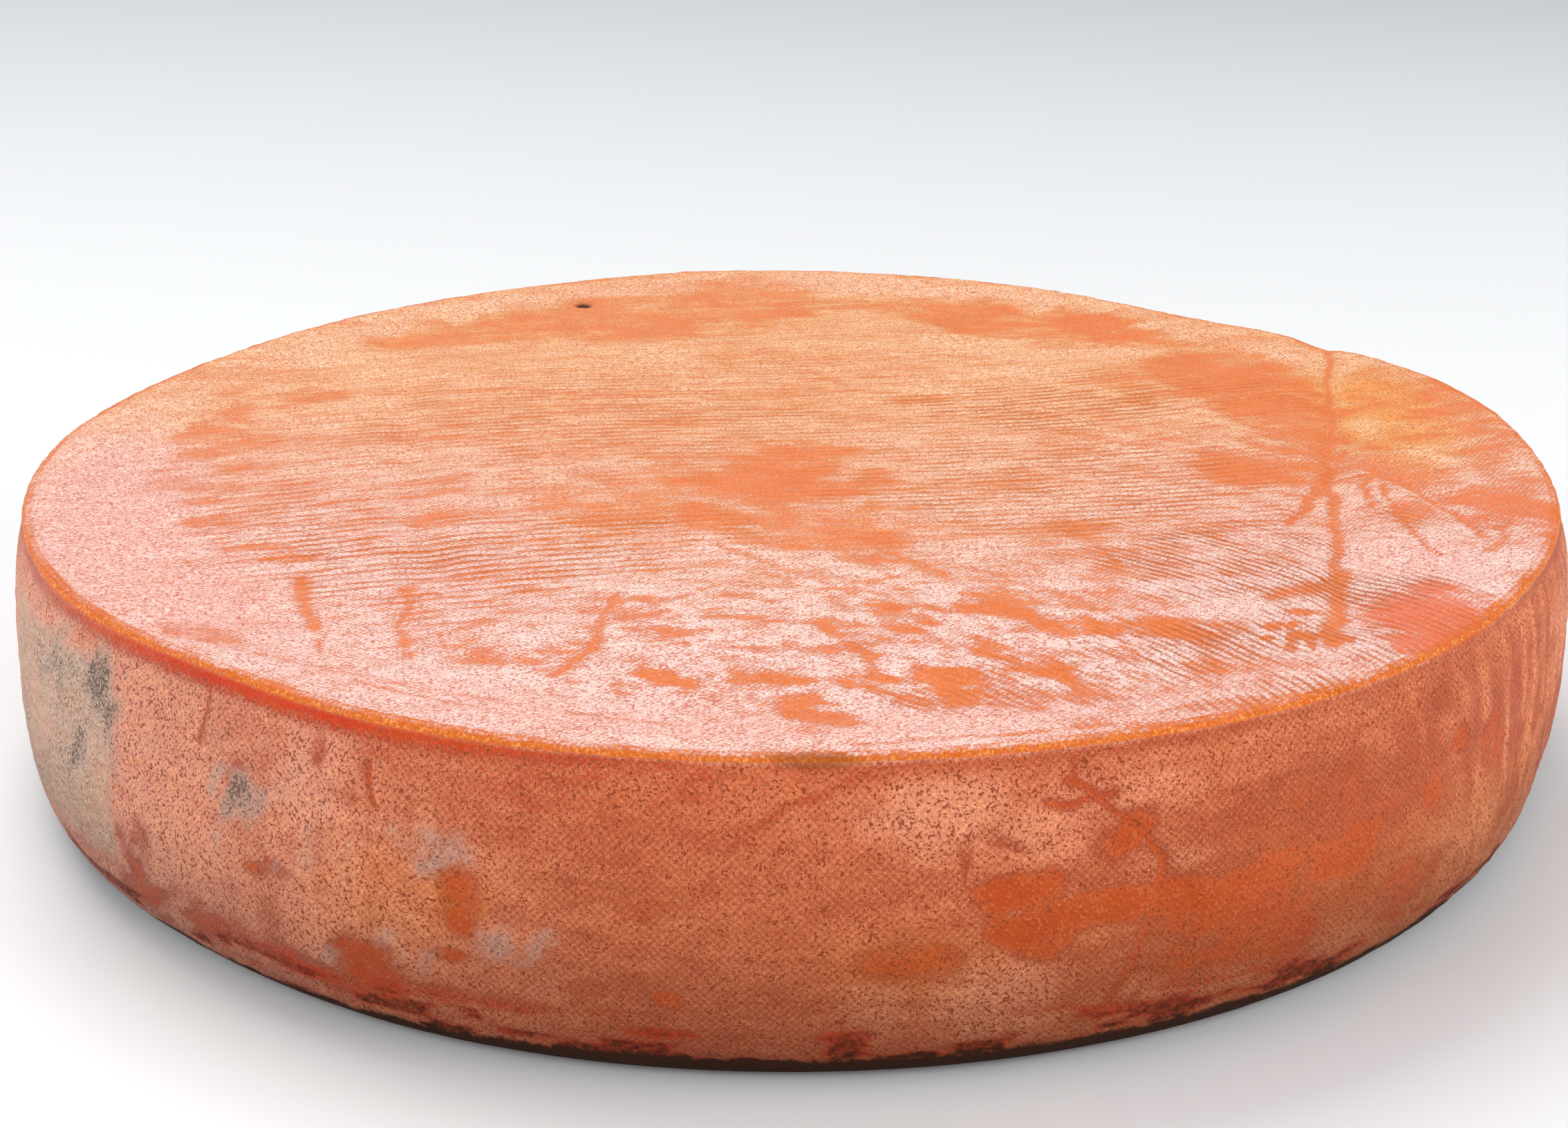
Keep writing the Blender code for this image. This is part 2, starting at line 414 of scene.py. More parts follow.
# %% Lists of marks on the top
# x, y, half length, half width, turn in degrees, how bare
TOP_PATCHES = (
    (-1, -24, 20, 26, 0, 0.75),
    (4, -50, 17, 12, -25, 0.7),
    (-36, -32, 14, 12, -20, 0.30),
    (14, -66, 17, 4.5, -45, 0.6),
    (-120, 16, 9, 27, 5, 0.55),
    (-113, 42, 12, 5, 10, 0.5),
    (-121, -12, 8, 14, 0, 0.4),
    (-80, 95, 24, 9, 28, 0.55),
    (-38, 112, 42, 19, 12, 0.62),
    (-10, 130, 16, 18, -10, 0.45),
    (62, 105, 34, 15, -24, 0.78),
    (30, 122, 28, 8, -12, 0.5),
    (100, 62, 15, 26, 10, 0.62),
    (112, 22, 15, 34, -4, 0.72),
    (100, -12, 15, 15, 0, 0.65),
    (128, -10, 10, 12, 20, 0.55),
    (140, 30, 15, 28, 0, 0.6),
    (78, 52, 7, 14, 10, 0.4),
    (112, -97, 9, 18, -25, 0.85),
    (99, -73, 7, 3.2, 35, 0.8),
    (124, -38, 4, 9, 0, 0.5),
    (141, -36, 8, 14, 10, 0.62),
    (147, -18, 5, 16, 10, 0.5),
    (-22, -122, 7, 5, -20, 0.75),
    (-3, -121, 8, 4, 0, 0.7),
    (14, -119, 6, 6, 30, 0.7),
    (28, -127, 5, 4, 0, 0.7),
    (24, -116, 7, 8, -40, 0.55),
    (44, -117, 8, 4, -10, 0.75),
    (34, -109, 10, 4, -35, 0.65),
    (22, -93, 8, 8, 0, 0.55),
    (5, -133, 5, 9, 10, 0.65),
    (50, -99, 9, 6, -30, 0.5),
    (69, -97, 9, 4, -10, 0.6),
    (45, -91, 8, 4, -20, 0.5),
    (-50, -108, 12, 6, -15, 0.35),
    (-38, -112, 9, 5, 30, 0.35),
    (-93, -96, 4, 5, 30, 0.55),
    (-101, -104, 8, 5, -20, 0.7),
    (-112, -42, 4.5, 3, 0, 0.75),
    (-99, -57, 6, 2.5, 8, 0.7),
    (-93, -63, 5, 2, 8, 0.65),
    (-115, -31, 5, 2.2, 5, 0.6),
    (-124, -20, 4, 2, 0, 0.5),
    (-68, -42, 5, 4, 0, 0.45),
    (52, -48, 8, 7, 0, 0.4),
    (30, 38, 6, 3, 0, 0.35),
    (-4, 26, 4, 4, 0, 0.3),
    (84, -98, 2.2, 1.7, 0, 1.0),
    (87, -97, 1.7, 2.4, 0, 1.0),
    (82.5, -102.5, 1.5, 1.3, 0, 0.9),
    (88.5, -101, 1.9, 2.8, 20, 1.0),
    (86, -105, 1.1, 4, -8, 0.9),
    (89, -107, 0.9, 2.6, 0, 0.9),
    (94, -103.5, 2.6, 4, 10, 1.1),
    (91, -90, 2.8, 1.5, 10, 0.9),
)
# Path and width, how bare
TOP_SCRATCHES = (
    (((-89, -73), (-87, -82), (-82, -98)), 2.6, 0.95),
    (((-68, -78), (-67, -97), (-64, -110)), 2.6, 0.65),
    (((-66, -98), (-48, -94)), 2.6, 0.5),
    (((-30, -83), (-34, -108), (-38, -119)), 2.2, 0.85),
    (((-12, -78), (-24, -87)), 1.6, 0.7),
    (((-29, -85), (-28, -99)), 1.4, 0.6),
    (((-14, -92), (6, -96), (12, -107), (16, -122)), 2.4, 0.85),
    (((-14, -56), (18, -88), (52, -120)), 1.5, 0.6),
    (((38, -81), (61, -81)), 1.5, 0.75),
    (((53, -43), (58, -55), (61, -68)), 1.8, 0.75),
    (((17, -58), (28, -72)), 3.2, 0.8),
    (((-12, -107), (12, -108)), 1.5, 0.7),
    (((-60, -100), (-56, -112)), 1.4, 0.6),
    (((-80, -104), (-78, -110)), 1.6, 0.7),
    (((0, -84), (24, -70)), 1.2, 0.5),
    (((-100, -107), (-75, -119), (-40, -134), (-18, -141)), 1.7, 0.55),
    (((-70, -124), (-44, -138)), 1.2, 0.6),
    (((8, -149), (42, -145)), 1.2, 0.7),
    (((60, -137), (80, -131)), 1.3, 0.7),
    (((140, -46), (131, -62)), 2.0, 0.7),
    (((5, 62), (13, 50)), 2.2, 0.5),
    (((-2, 118), (4, 96)), 2.5, 0.5),
    (((-118, 55), (-88, 62)), 1.6, 0.4),
    (((103, -67), (99, -78), (96.5, -92), (95, -99), (93, -107)), 3.0, 1.05),
    (((101, -72), (93, -78), (88, -84)), 3.4, 0.8),
)
# Cracks at the bottom of the creases: thin bare lines
TOP_CRACKS = (
    (((131, 84), (121, 33), (112, -10), (109, -28), (103, -60), (101, -70)), 1.9),
    (((119, 8), (113, -10), (106, -26), (98, -41)), 1.4),
    (((113, -6), (106, -24), (97, -44)), 1.1),
    (((122, -4), (117, -20), (116, -32)), 1.3),
    (((121, -8), (127, -22), (131, -36), (133, -52)), 1.4),
    (((117, 20), (112, -4)), 1.1),
    (((124, -2), (120, -26), (121, -62)), 1.0),
)
# Places where the long or the curved ribs stand out: x, y, half length, half width, turn, strength
RIB_PLACES = (
    (-55, -62, 46, 22, 15, 1.0),
    (58, -20, 52, 34, 8, 0.85),
    (60, 34, 44, 22, 16, 1.0),
    (-40, 22, 62, 40, 8, 0.65),
    (-98, -48, 26, 34, 0, 0.6),
    (0, 80, 80, 40, 0, 0.25),
)
CURVED_RIB_PLACES = (
    (74, -113, 20, 22, 25, 1.0),
    (90, -72, 34, 20, -15, 1.0),
    (98, -106, 12, 18, 0, 0.9),
    (112, -95, 10, 18, -25, 0.6),
    (40, -122, 30, 20, 0, 0.5),
    (124, -50, 14, 18, 0, 0.45),
)
# Areas with their own edge: x, y, half length, half width, turn, edge, and how much is added to bare
TOP_WEAR = (
    (-103, -45, 18, 34, 0, 0.4, 0.14),
    (-45, -25, 40, 40, 0, 0.6, 0.10),
    (92, -103, 13, 9, 0, 0.4, -0.4),
    (113, -66, 17, 11, 10, 0.6, -0.3),
    (100, -80, 32, 26, 0, 0.6, -0.12),
)
# the same, with how damp and sheen-painted, how red and how yellow
TOP_DAMP_AND_SHEEN = (
    (-131, -42, 17, 52, 10, 0.5, 1.0),
    (-108, -84, 17, 26, 35, 0.5, 1.0),
    (116, -62, 13, 12, -20, 0.5, 0.6),
)
TOP_RED = (
    (-129, -70, 9, 12, 40, 0.6, 0.72),
    (-138, -50, 6, 18, 15, 0.6, 0.64),
    (112, -95, 12, 22, -26, 0.35, 0.85),
)
TOP_YELLOW = (
    (131, 28, 13, 34, 4, 0.5, 1.0),
    (8, -30, 60, 55, 0, 0.6, 0.3),
)
# x, y, half length, half width, turn, edge
FLAKED_AREA = (18, -103, 62, 34, -6, 0.5)
SHELTERED_BLOOM = (88, -96, 16, 17, 0, 0.4)
GAP_IN_MARGIN = (-8, 130, 22, 22, 0, 0.5)
RED_RIM = (141, -48, 9, 26, 25, 0.5)
PIN_HOLE = (-52, 125, 2.2, 1.8, 0, 0.6)
# Where the dark stain lies on the bead: angle and width in degrees
STAIN_ANGLE = 271.5
STAIN_WIDTH = 3.4
print("patches and scratches:", len(TOP_PATCHES), len(TOP_SCRATCHES))


# %% What the fields are made with
FIELDS = ("bare", "damp", "red", "yellow", "stain", "film", "mould", "warm", "foot", "torn")
FIELDS += ("ribs", "curved_ribs", "on_side")


def flake_field(x, y):
    """Torn flakes, from -0.7 to 0.7: two stretched mottles, leaning 30 degrees down to the right."""
    lean = math.radians(-30)
    along = x * math.cos(lean) + y * math.sin(lean)
    across = y * math.cos(lean) - x * math.sin(lean)
    coarse = mottle(along / 1.8, across, 6.0, 131, 4)
    fine = mottle(along / 2.5, across, 2.6, 137, 2)
    return np.clip(3.2 * (0.6 * coarse + 0.4 * fine - 0.5), -0.7, 0.7)


def gather(x, y, places, edge=0.45):
    """The strongest of several soft spots at each point. Small ones have finer rims."""
    rims = {True: raggedness(x, y), False: raggedness(x, y, 3.0)}
    return np.maximum.reduce([
        level * spot(x, y, *where, edge, rims[max(where[2:4]) > 6]) for *where, level in places
    ])


def named_fields(like, **given):
    """A value for every field that the rind's material reads: what is given, and 0 for the others."""
    return {name: np.zeros_like(like) + given.get(name, 0.0) for name in FIELDS}


def told(fields):
    """The fields at their first point, rounded to be printed."""
    return {name: round(float(values[0]), 2) for name, values in fields.items()}


print("fields for each point:", len(FIELDS))


# %% How bare the top is
def top_bare(x, y, inwards, damp, margin):
    """How bare the top is: a base, mottles and streaks, the worn rim, the areas and the patches added
    up, less what the damp zones with their painted sheen and the margin keep, then the greatest of
    that and every scratch and crack."""
    (along, across), _ = top_threads(x, y)
    streaks = mottle(along / 7, across, 3.0, 41) - 0.5
    torn = flake_field(x, y)
    ragged = spot(x, y, *FLAKED_AREA)
    bare = 0.27 + 0.35 * (mottle(x, y, 60.0, 47) - 0.5) + 0.6 * streaks * (1 - 0.6 * ragged)
    bare = bare + 0.4 * (mottle(x, y, 12.0, 43, 4) - 0.5) + 0.75 * ragged * torn
    # The bloom ends raggedly just inside the rim
    bare = bare + 0.6 * smooth(1 - inwards / (4.5 + 3 * torn)) * (0.7 + 0.5 * torn)
    bare = bare + added(x, y, TOP_WEAR) + 0.02 * smooth((y - 20) / 90)
    bare = bare - 0.3 * spot(x, y, *SHELTERED_BLOOM) * (1 - smooth((-86 - y) / 30))
    wide_patches = [patch for patch in TOP_PATCHES if max(patch[2:4]) > 4]
    small_patches = [patch for patch in TOP_PATCHES if max(patch[2:4]) <= 4]
    bare = bare + gather(x, y, wide_patches) * (0.85 + 0.5 * torn + ragged * (1.5 * torn - 0.3))
    bare = np.maximum(bare, 1.3 * gather(x, y, small_patches, 0.3))
    for path, width, level in TOP_SCRATCHES:
        bare = np.maximum(bare, 1.25 * level * stroke(x, y, path, width))
    for path, width in TOP_CRACKS:
        bare = np.maximum(bare, 1.2 * stroke(x, y, path, width))
    return bare - 0.22 * damp - 0.35 * margin * (1 - spot(x, y, *GAP_IN_MARGIN))


print("areas more or less worn:", len(TOP_WEAR))


# %% Fields and relief of the top
def top_fields(x, y, inwards):
    """Everything that the rind's material reads on the top, as values from about 0 to 1, for points in
    plan in mm. inwards is how far a point lies inside the rim."""
    angle = np.degrees(np.arctan2(y, x)) % 360
    # A smooth damp zone with a painted sheen at the left and the near edge, and the pale margin along the
    # far rim
    damp = np.maximum.reduce([level * spot(x, y, *where) for *where, level in TOP_DAMP_AND_SHEEN])
    damp = np.maximum(damp, 0.75 * smooth(1 - np.abs(inwards - 13) / 13) * near(angle, 262, 48))
    margin = smooth(1 - np.abs(inwards - 13) / 11) * near(angle, 95, 62)
    margin = margin * (0.6 + 0.8 * (mottle(x, y, 22.0, 53) - 0.5))
    # Rubbed, redder rind near the rim
    red = 0.8 * near(angle, 214, 16) * smooth(1 - (inwards - 3) / 14) + added(x, y, TOP_RED)
    red = np.maximum(np.clip(red, 0, 1), 0.35 * spot(x, y, *RED_RIM))
    yellow = 0.4 * smooth((y + 10) / 120) + added(x, y, TOP_YELLOW)
    # The pin hole is painted nearly black: painted shade in the hole
    hole = spot(x, y, *PIN_HOLE)
    stain = hole + near(angle, STAIN_ANGLE, STAIN_WIDTH) * smooth(1 - np.abs(inwards - 1) / 3)
    ribs = gather(x, y, RIB_PLACES, 0.7) * (1 - 0.85 * np.clip(damp, 0, 1))
    curved_ribs = gather(x, y, CURVED_RIB_PLACES, 0.6) * (1 - 0.7 * np.clip(damp, 0, 1))
    return named_fields(
        x,
        bare=np.clip(top_bare(x, y, inwards, damp, margin), -0.6, 1.4),
        damp=np.clip(damp + 0.6 * margin, 0, 1),
        red=red,
        yellow=np.clip(yellow, 0, 1),
        stain=np.clip(stain, 0, 1),
        warm=smooth((y + 78) / 130),
        foot=hole,
        torn=0.35 + 0.65 * spot(x, y, *FLAKED_AREA),
        ribs=np.clip(ribs, 0, 1),
        curved_ribs=np.clip(curved_ribs, 0, 1),
    )


def top_relief(x, y, fields):
    """Height of the fine relief in mm: a groove with raised lips for each crack, a step down on bare
    rind, a wide mottle and a fine one that is weaker where damp and sheen-painted, and the pin hole,
    added up."""
    relief = np.zeros_like(x)
    for path, _ in TOP_CRACKS:
        distance = distance_to_path(x, y, path)
        relief += -0.22 * bell(distance, 1.1) + 0.12 * bell(distance - 2.6, 1.4)
    relief -= 0.12 * smooth((fields["bare"] - 0.35) / 0.3)
    relief += 0.5 * (mottle(x, y, 24.0, 71) - 0.5)
    relief += 0.22 * (mottle(x, y, 3.0, 73, 2) - 0.5) * (1 - 0.7 * fields["damp"])
    return relief - 0.9 * spot(x, y, *PIN_HOLE)


print("middle of the top:", told(top_fields(np.zeros(1), np.zeros(1), np.full(1, RIM_RADIUS / MM))))


# %% [markdown]
# ## Marks on the side
#
# The side was pressed by the same cloth, but it is rubbed less, so its bloom is a coat of fine pale
# grains over a deep orange rind. Grey moulds have settled on its left, bare polished patches show on
# the right, and dark streaks lie low down, where the wheel sat on its shelf. A place here is an
# angle round the wheel, counted from the right, and a depth in millimetres below the rim. The far
# side isn't in the photograph, so marks of the same kinds are strewn there by a seeded draw. The
# base is finished like the top, with slow mottles in place of named marks.

# %% Lists of marks on the side
# angle, depth, half length, half height, turn, how bare
SIDE_PATCHES = (
    (224, 38, 5, 9, 0, 1.4), (226, 48, 13, 4, 0, 1.3), (244, 43, 6, 5.5, 0, 1.4),
    (241, 48, 8, 3, 15, 0.7), (251, 28, 3.4, 4.6, 0, 0.95), (243.5, 14, 4, 1.8, 0, 0.6),
    (241, 8, 1.4, 3, 0, 0.6), (237.5, 3, 3.2, 1.6, 0, 0.8), (240, 3, 3.2, 1.6, 0, 0.8),
    (234.5, 17, 2, 3.5, 0, 0.5), (283.5, 24, 7, 3.4, 5, 0.9), (284, 31, 7, 4, 0, 0.85),
    (288, 28, 8, 3, 0, 0.85), (289.5, 16, 5, 2.6, -38, 0.95), (299, 28, 19, 3.6, 0, 0.8),
    (305, 28.5, 6, 3.6, 0, 0.95), (298, 41, 15, 3.4, 0, 0.8), (298, 35, 13, 3, 0, 0.5),
    (277, 35, 7, 3.6, 0, 0.55), (311, 13, 4, 2.5, 0, 0.7), (316, 16.5, 2.6, 2, 0, 0.8),
    (313, 25, 2.6, 2.6, 0, 0.6), (320.5, 23, 4.6, 5, 0, 0.85), (331, 25, 4.2, 4, 0, 0.7),
    (325.5, 26, 5, 1.4, 0, 0.6), (311, 40, 11, 4, 0, 0.6), (325, 37, 5, 5, 0, 0.6),
    (238, 30.5, 2.2, 1.1, 0, 0.8), (236, 32, 2.2, 1.1, 0, 0.7), (250, 38, 3, 1.1, 0, 0.8),
    (258.5, 40, 3, 1.8, 0, 0.7), (261, 37.5, 2.6, 2.2, 0, 0.7), (263, 41, 2.2, 1.3, 0, 0.8),
    (261.5, 27.5, 3, 1.0, 0, 0.6), (281.5, 14, 5, 1.6, 25, 0.7), (280, 15, 1, 4, 0, 0.6),
    (338, 34, 14, 3.4, -24, 0.7), (348, 46, 5, 3, 0, 0.7), (342, 28, 12, 2, -24, 0.6),
)
# the same, with how thick and pale the bloom is
SIDE_BLOOMS = (
    (278, 10, 12, 5, 0, 0.9), (283, 13, 10, 5, 0, 0.7), (282, 41, 11, 7, 0, 0.7),
    (275, 43, 6, 5, 0, 0.5), (241, 13, 6, 8, 0, 0.6), (290, 9, 10, 4, 0, 0.5),
    (293, 22, 7, 2.2, 0, 0.5), (203, 22, 34, 20, 0, 0.8), (300, 46, 22, 2.5, 0, 0.5),
    (328, 47, 14, 5, 0, 0.6), (316, 34, 12, 8, 0, 0.4), (345, 18, 24, 16, 0, 0.6),
)
# the same, with how strong the mould is
SIDE_MOULDS = (
    (219, 12, 15, 8, 0, 1.1), (217, 22, 17, 12, 0, 0.95), (222, 15, 8, 7, 0, 1.2),
    (233.2, 20, 5, 6, 0, 1.2), (235.8, 21.5, 5, 5, 0, 1.1), (233.2, 32, 4, 7, 0, 0.9),
    (240.2, 19, 6, 5, 0, 1.0), (243, 25, 4, 8, 0, 0.9), (246, 20, 5, 4, 0, 0.9),
    (249.8, 21, 5.6, 5.6, 0, 1.25), (253.8, 33, 5, 12, 0, 0.85), (255.4, 36, 4, 9, 0, 1.0),
    (249.8, 41, 5, 5, 0, 1.0), (246.5, 40, 5, 5, 0, 0.8), (233, 13, 4, 5, 0, 0.8),
    (249, 32, 5, 5, 0, 0.6), (292, 37, 5, 2, 0, 0.5), (243, 44, 14, 3, 0, 0.7),
    (239, 22, 20, 13, 0, 0.62), (251, 32, 14, 12, 0, 0.6),
)
# Path as (angle, depth), width, how bare
SIDE_SCRATCHES = (
    (((286, 7), (288, 10), (292, 21), (291.6, 30), (289, 45)), 1.6, 0.95),
    (((292, 22), (294, 30), (293.6, 38)), 1.3, 0.7),
    (((285, 9), (286.2, 11), (289, 9)), 1.6, 0.9),
    (((286.6, 3), (286.2, 8)), 1.4, 0.7),
    (((244.7, 8), (244.8, 12), (245.2, 15)), 1.1, 0.95),
    (((231, 4), (231, 13)), 1.3, 0.7),
    (((275, 3), (270, 8), (266.5, 16)), 2.0, 0.6),
    (((266.5, 4), (262, 10), (259, 14)), 2.0, 0.5),
    (((265.8, 19), (265.2, 24), (260, 27)), 1.5, 0.6),
    (((291.5, 42), (290, 48)), 1.4, 0.7),
    (((300, 45), (299, 49)), 1.2, 0.7),
)
# angle, depth, half length, half height, turn, edge, how yellow
SIDE_YELLOW = (
    (251, 28, 5, 5, 0, 0.45, 0.7),
    (246, 30, 12, 9, 0, 0.8, 0.6),
    (277, 35, 12, 6, 0, 0.7, 0.5),
)
# Upright smears of the washing brush: angle, width in degrees, strength
SMEARS = ((332, 22, 1.0), (240, 12, 0.5))
# The cream area at the left: the angles where it ends, and the depths
CREAM_ANGLES = (190, 223)
CREAM_DEPTHS = (5, 49)
UNSEEN_SEED = 97
UNSEEN_PATCHES = 34
UNSEEN_MOULDS = 9
UNSEEN_ANGLES = (-4, 184)
UNSEEN_DEPTHS = (6, 48)


def unseen_places(count, seed, largest):
    """Marks at random on the side that the photograph doesn't show: each is a quarter to six tenths as
    high as it is long, leans by up to 15 degrees, and is half to nine tenths strong."""
    rng = np.random.default_rng(seed)
    angles = rng.uniform(*UNSEEN_ANGLES, count)
    half = rng.uniform(1.5, largest, count)
    depths = rng.uniform(*UNSEEN_DEPTHS, count)
    half_heights = half * rng.uniform(0.25, 0.6, count)
    leans, levels = rng.uniform(-15, 15, count), rng.uniform(0.5, 0.9, count)
    return list(zip(angles, depths, half, half_heights, leans, levels))


print("marks on the side:", len(SIDE_PATCHES) + len(SIDE_BLOOMS) + len(SIDE_MOULDS))


# %% Marks round the side
def side_gather(arc, depth, places, edge):
    """As gather, with each place's angle turned to millimetres, and each end of the wheel's turn met."""
    found = np.zeros(np.shape(arc))
    turn = 360 * DEGREE
    ragged = raggedness(arc, depth, 6.0)
    for angle, *rest, level in places:
        beside = (arc - angle * DEGREE + turn / 2) % turn - turn / 2
        found = np.maximum(found, level * spot(beside, depth, 0, *rest, edge=edge, ragged=ragged))
    return found


def in_mm(paths):
    """Each scratch of the side as its path in mm, its width and its level."""
    return [([(at * DEGREE, down) for at, down in path], width, level) for path, width, level in paths]


print("scratches on the side:", len(SIDE_SCRATCHES))


# %% How bare the side is
def side_bare(arc, depth, angle, streaks, low, rubbed_band_and_shade):
    """How bare the side is: a base, mottles, streaks, patches and smears added up, less the blooms and a
    zone at the left that is partly painted sheen, then the greatest of that, the scratches and the band
    under the bead, which is partly rubbed rind and partly painted shade."""
    patches = [*SIDE_PATCHES, *unseen_places(UNSEEN_PATCHES, UNSEEN_SEED, 9)]
    bare = 0.42 + 0.40 * (mottle(arc, depth, 34.0, 79) - 0.5) + 0.34 * (streaks - 0.5)
    bare = bare + side_gather(arc, depth, patches, 0.45) * (0.62 + 0.9 * flake_field(arc, depth))
    bare = bare + 0.3 * spot(arc, depth, 303 * DEGREE, 28, 42, 16, 0, 0.6)
    smeared = np.maximum.reduce([level * near(angle, at, wide) for at, wide, level in SMEARS])
    bare = bare + 1.1 * smeared * (mottle(arc, depth / 4, 3.4, 91, 3) - 0.5)
    # Less bare at the left: paler bloom, partly a painted sheen
    bare = bare - 0.4 * side_gather(arc, depth, SIDE_BLOOMS, 0.8) - 0.28 * near(angle, 222, 24)
    bare = bare + 0.5 * low
    for path, width, level in in_mm(SIDE_SCRATCHES):
        bare = np.maximum(bare, 1.2 * level * stroke(arc, depth, path, width))
    return np.maximum(bare, 1.3 * rubbed_band_and_shade)


print("marks strewn on the far side:", UNSEEN_PATCHES + UNSEEN_MOULDS)


# %% Fields of the side and the base
def side_fields(angle, height):
    """As top_fields, for points of the side given by angle in degrees and height in mm."""
    arc, depth = angle * DEGREE, HEIGHT / MM - height
    streaks = mottle(arc / 3.4, depth, 3.2, 83, 3)
    low = smooth((depth - 42) / 8) * smooth((streaks - 0.54) / 0.1)
    from_angle, to_angle = CREAM_ANGLES
    from_depth, to_depth = CREAM_DEPTHS
    cream = smooth((to_angle - angle) / 2) * smooth((angle - from_angle) / 14)
    cream = cream * smooth((depth - from_depth) / 6) * smooth((to_depth - depth) / 8)
    # The band under the bead: rubbed smooth by hands at the front left, and painted shade all round
    neck_shade = 0.45 + 0.5 * (mottle(arc, depth, 40.0, 87) - 0.5)
    rubbed_band_and_shade = smooth((6.5 - depth) / 4.5) * np.maximum(near(angle, 236, 30), neck_shade)
    red = 0.8 * low + 0.3 * smooth((depth - 38) / 14) * near(angle, 250, 60)
    red = np.maximum(rubbed_band_and_shade * near(angle, 232, 42), red)
    red = np.maximum(red, 0.5 * smooth((26 - depth) / 30) * near(angle, 258, 34))
    moulds = [*SIDE_MOULDS, *unseen_places(UNSEEN_MOULDS, UNSEEN_SEED + 1, 7)]
    grey = side_gather(arc, depth, moulds, 0.85) * (0.8 + 0.95 * flake_field(depth, arc))
    yellow = 0.7 * near(angle, 318, 26) * smooth((depth - 18) / 18)
    yellow = yellow + added(arc, depth, [(at * DEGREE, *rest) for at, *rest in SIDE_YELLOW])
    stain = 0.9 * near(angle, STAIN_ANGLE, 3.0) * bell(depth - 1.5, 1.8) + 0.6 * low
    # Painted contact shadow: the foot turns nearly black, in a band thinner at the left and with a ragged
    # edge
    foot_from = 50.5 + 2 * near(angle, 225, 25) + 6 * (streaks - 0.5)
    stain = stain + 1.2 * smooth((depth - foot_from) / 6)
    # Thick blooms, and at the left paler bloom with a painted sheen
    damp = 0.4 * side_gather(arc, depth, SIDE_BLOOMS, 0.8) + 0.85 * near(angle, 218, 26)
    return named_fields(
        arc,
        bare=np.clip(side_bare(arc, depth, angle, streaks, low, rubbed_band_and_shade), -0.6, 1.4),
        damp=np.clip(damp, 0, 1),
        red=np.clip(red, 0, 1),
        yellow=np.clip(yellow, 0, 1),
        stain=np.clip(stain, 0, 1),
        film=0.95 * cream,
        mould=np.clip(grey, 0, 1.3),
        warm=0.3,
        # painted shade: the side darkens towards the bottom
        foot=smooth((depth - 22) / 34),
        torn=0.35,
        on_side=1.0,
    )


def base_fields(x, y):
    """As top_fields, for the base. It was pressed and turned like the top, so it has the same kinds of
    rind: each kind is a slow mottle, spread and eased."""
    return named_fields(
        x,
        bare=0.34 + 1.3 * (mottle(x, y, 46.0, 151, 4) - 0.5),
        damp=0.6 * smooth(3 * (mottle(x, y, 70.0, 157) - 0.5)),
        red=0.5 * smooth(3 * (mottle(x, y, 60.0, 163) - 0.55)),
        yellow=0.6 * smooth(3 * (mottle(x, y, 80.0, 167) - 0.5)),
        warm=0.5,
        torn=0.45,
        ribs=0.5,
    )


# The middle of the side that faces the camera
front_angle, front_height = np.full(1, 270.0), np.full(1, HEIGHT / MM / 2)
front_fields = side_fields(front_angle, front_height)
print("middle of the near side:", told(front_fields))


# %% Relief of the side
def side_relief(angle, height, fields):
    """Height of the fine relief in mm: grains where bloom lies, wide dents, long low waves, a step
    down on bare rind and a groove for each scratch, added up."""
    arc, depth = angle * DEGREE, HEIGHT / MM - height
    bloom_lies = 1 - 0.7 * smooth((fields["bare"] - 0.4) / 0.3)
    relief = 0.30 * (mottle(arc, depth, 1.9, 101, 2) - 0.5) * bloom_lies
    relief += 0.8 * (mottle(arc, depth, 26.0, 103) - 0.5)
    relief += 0.25 * (mottle(arc / 2.5, depth, 5.0, 107, 2) - 0.5)
    relief -= 0.15 * smooth((fields["bare"] - 0.35) / 0.3)
    for path, _, level in in_mm(SIDE_SCRATCHES):
        relief -= 0.4 * level * bell(distance_to_path(arc, depth, path), 0.9)
    return relief


print("relief there, mm:", np.round(side_relief(front_angle, front_height, front_fields), 2))


# %% [markdown]
# ## The surface
#
# The wheel is made as two closed pieces that meet on a hidden flat under the rim. Each has under two
# hundred thousand triangles, which in one piece would be too few for flakes and cracks a millimetre
# or two wide. The top is a square grid pressed into a disc, because rings round the middle would
# crowd there and thin out at the rim. The side is the profile carried round in columns, and both
# have as many columns as the grid has cells along its whole edge, so that they fit at the seam.

# %% Grid on the disc
CELLS = 290
COLUMNS = 4 * CELLS


def pressed_grid(cells):
    """A square grid of cells by cells as (share of radius, angle), by rows. Every cell keeps an equal
    area: the larger coordinate becomes the radius, and their ratio an eighth of a turn either way."""
    line = np.linspace(-1, 1, cells + 1)
    a, b = np.meshgrid(line, line, indexing="ij")
    wide = np.abs(a) > np.abs(b)
    safe_a, safe_b = np.where(a == 0, 1, a), np.where(b == 0, 1, b)
    radius = np.where(wide, a, b)
    angle = np.where(wide, 45 * b / safe_a, 90 - 45 * a / safe_b)
    angle = np.where((a == 0) & (b == 0), 0, angle)
    angle = np.where(radius < 0, angle + 180, angle)
    return np.abs(radius).ravel(), (angle % 360).ravel()


def edge_of_grid(cells):
    """The grid's edge points, counter-clockwise from the near right corner, which is at -45 degrees."""
    n = cells + 1
    step = np.arange(cells)
    right, back = cells * n + step, (cells - step) * n + cells
    left, front = cells - step, step * n
    return np.concatenate([right, back, left, front])


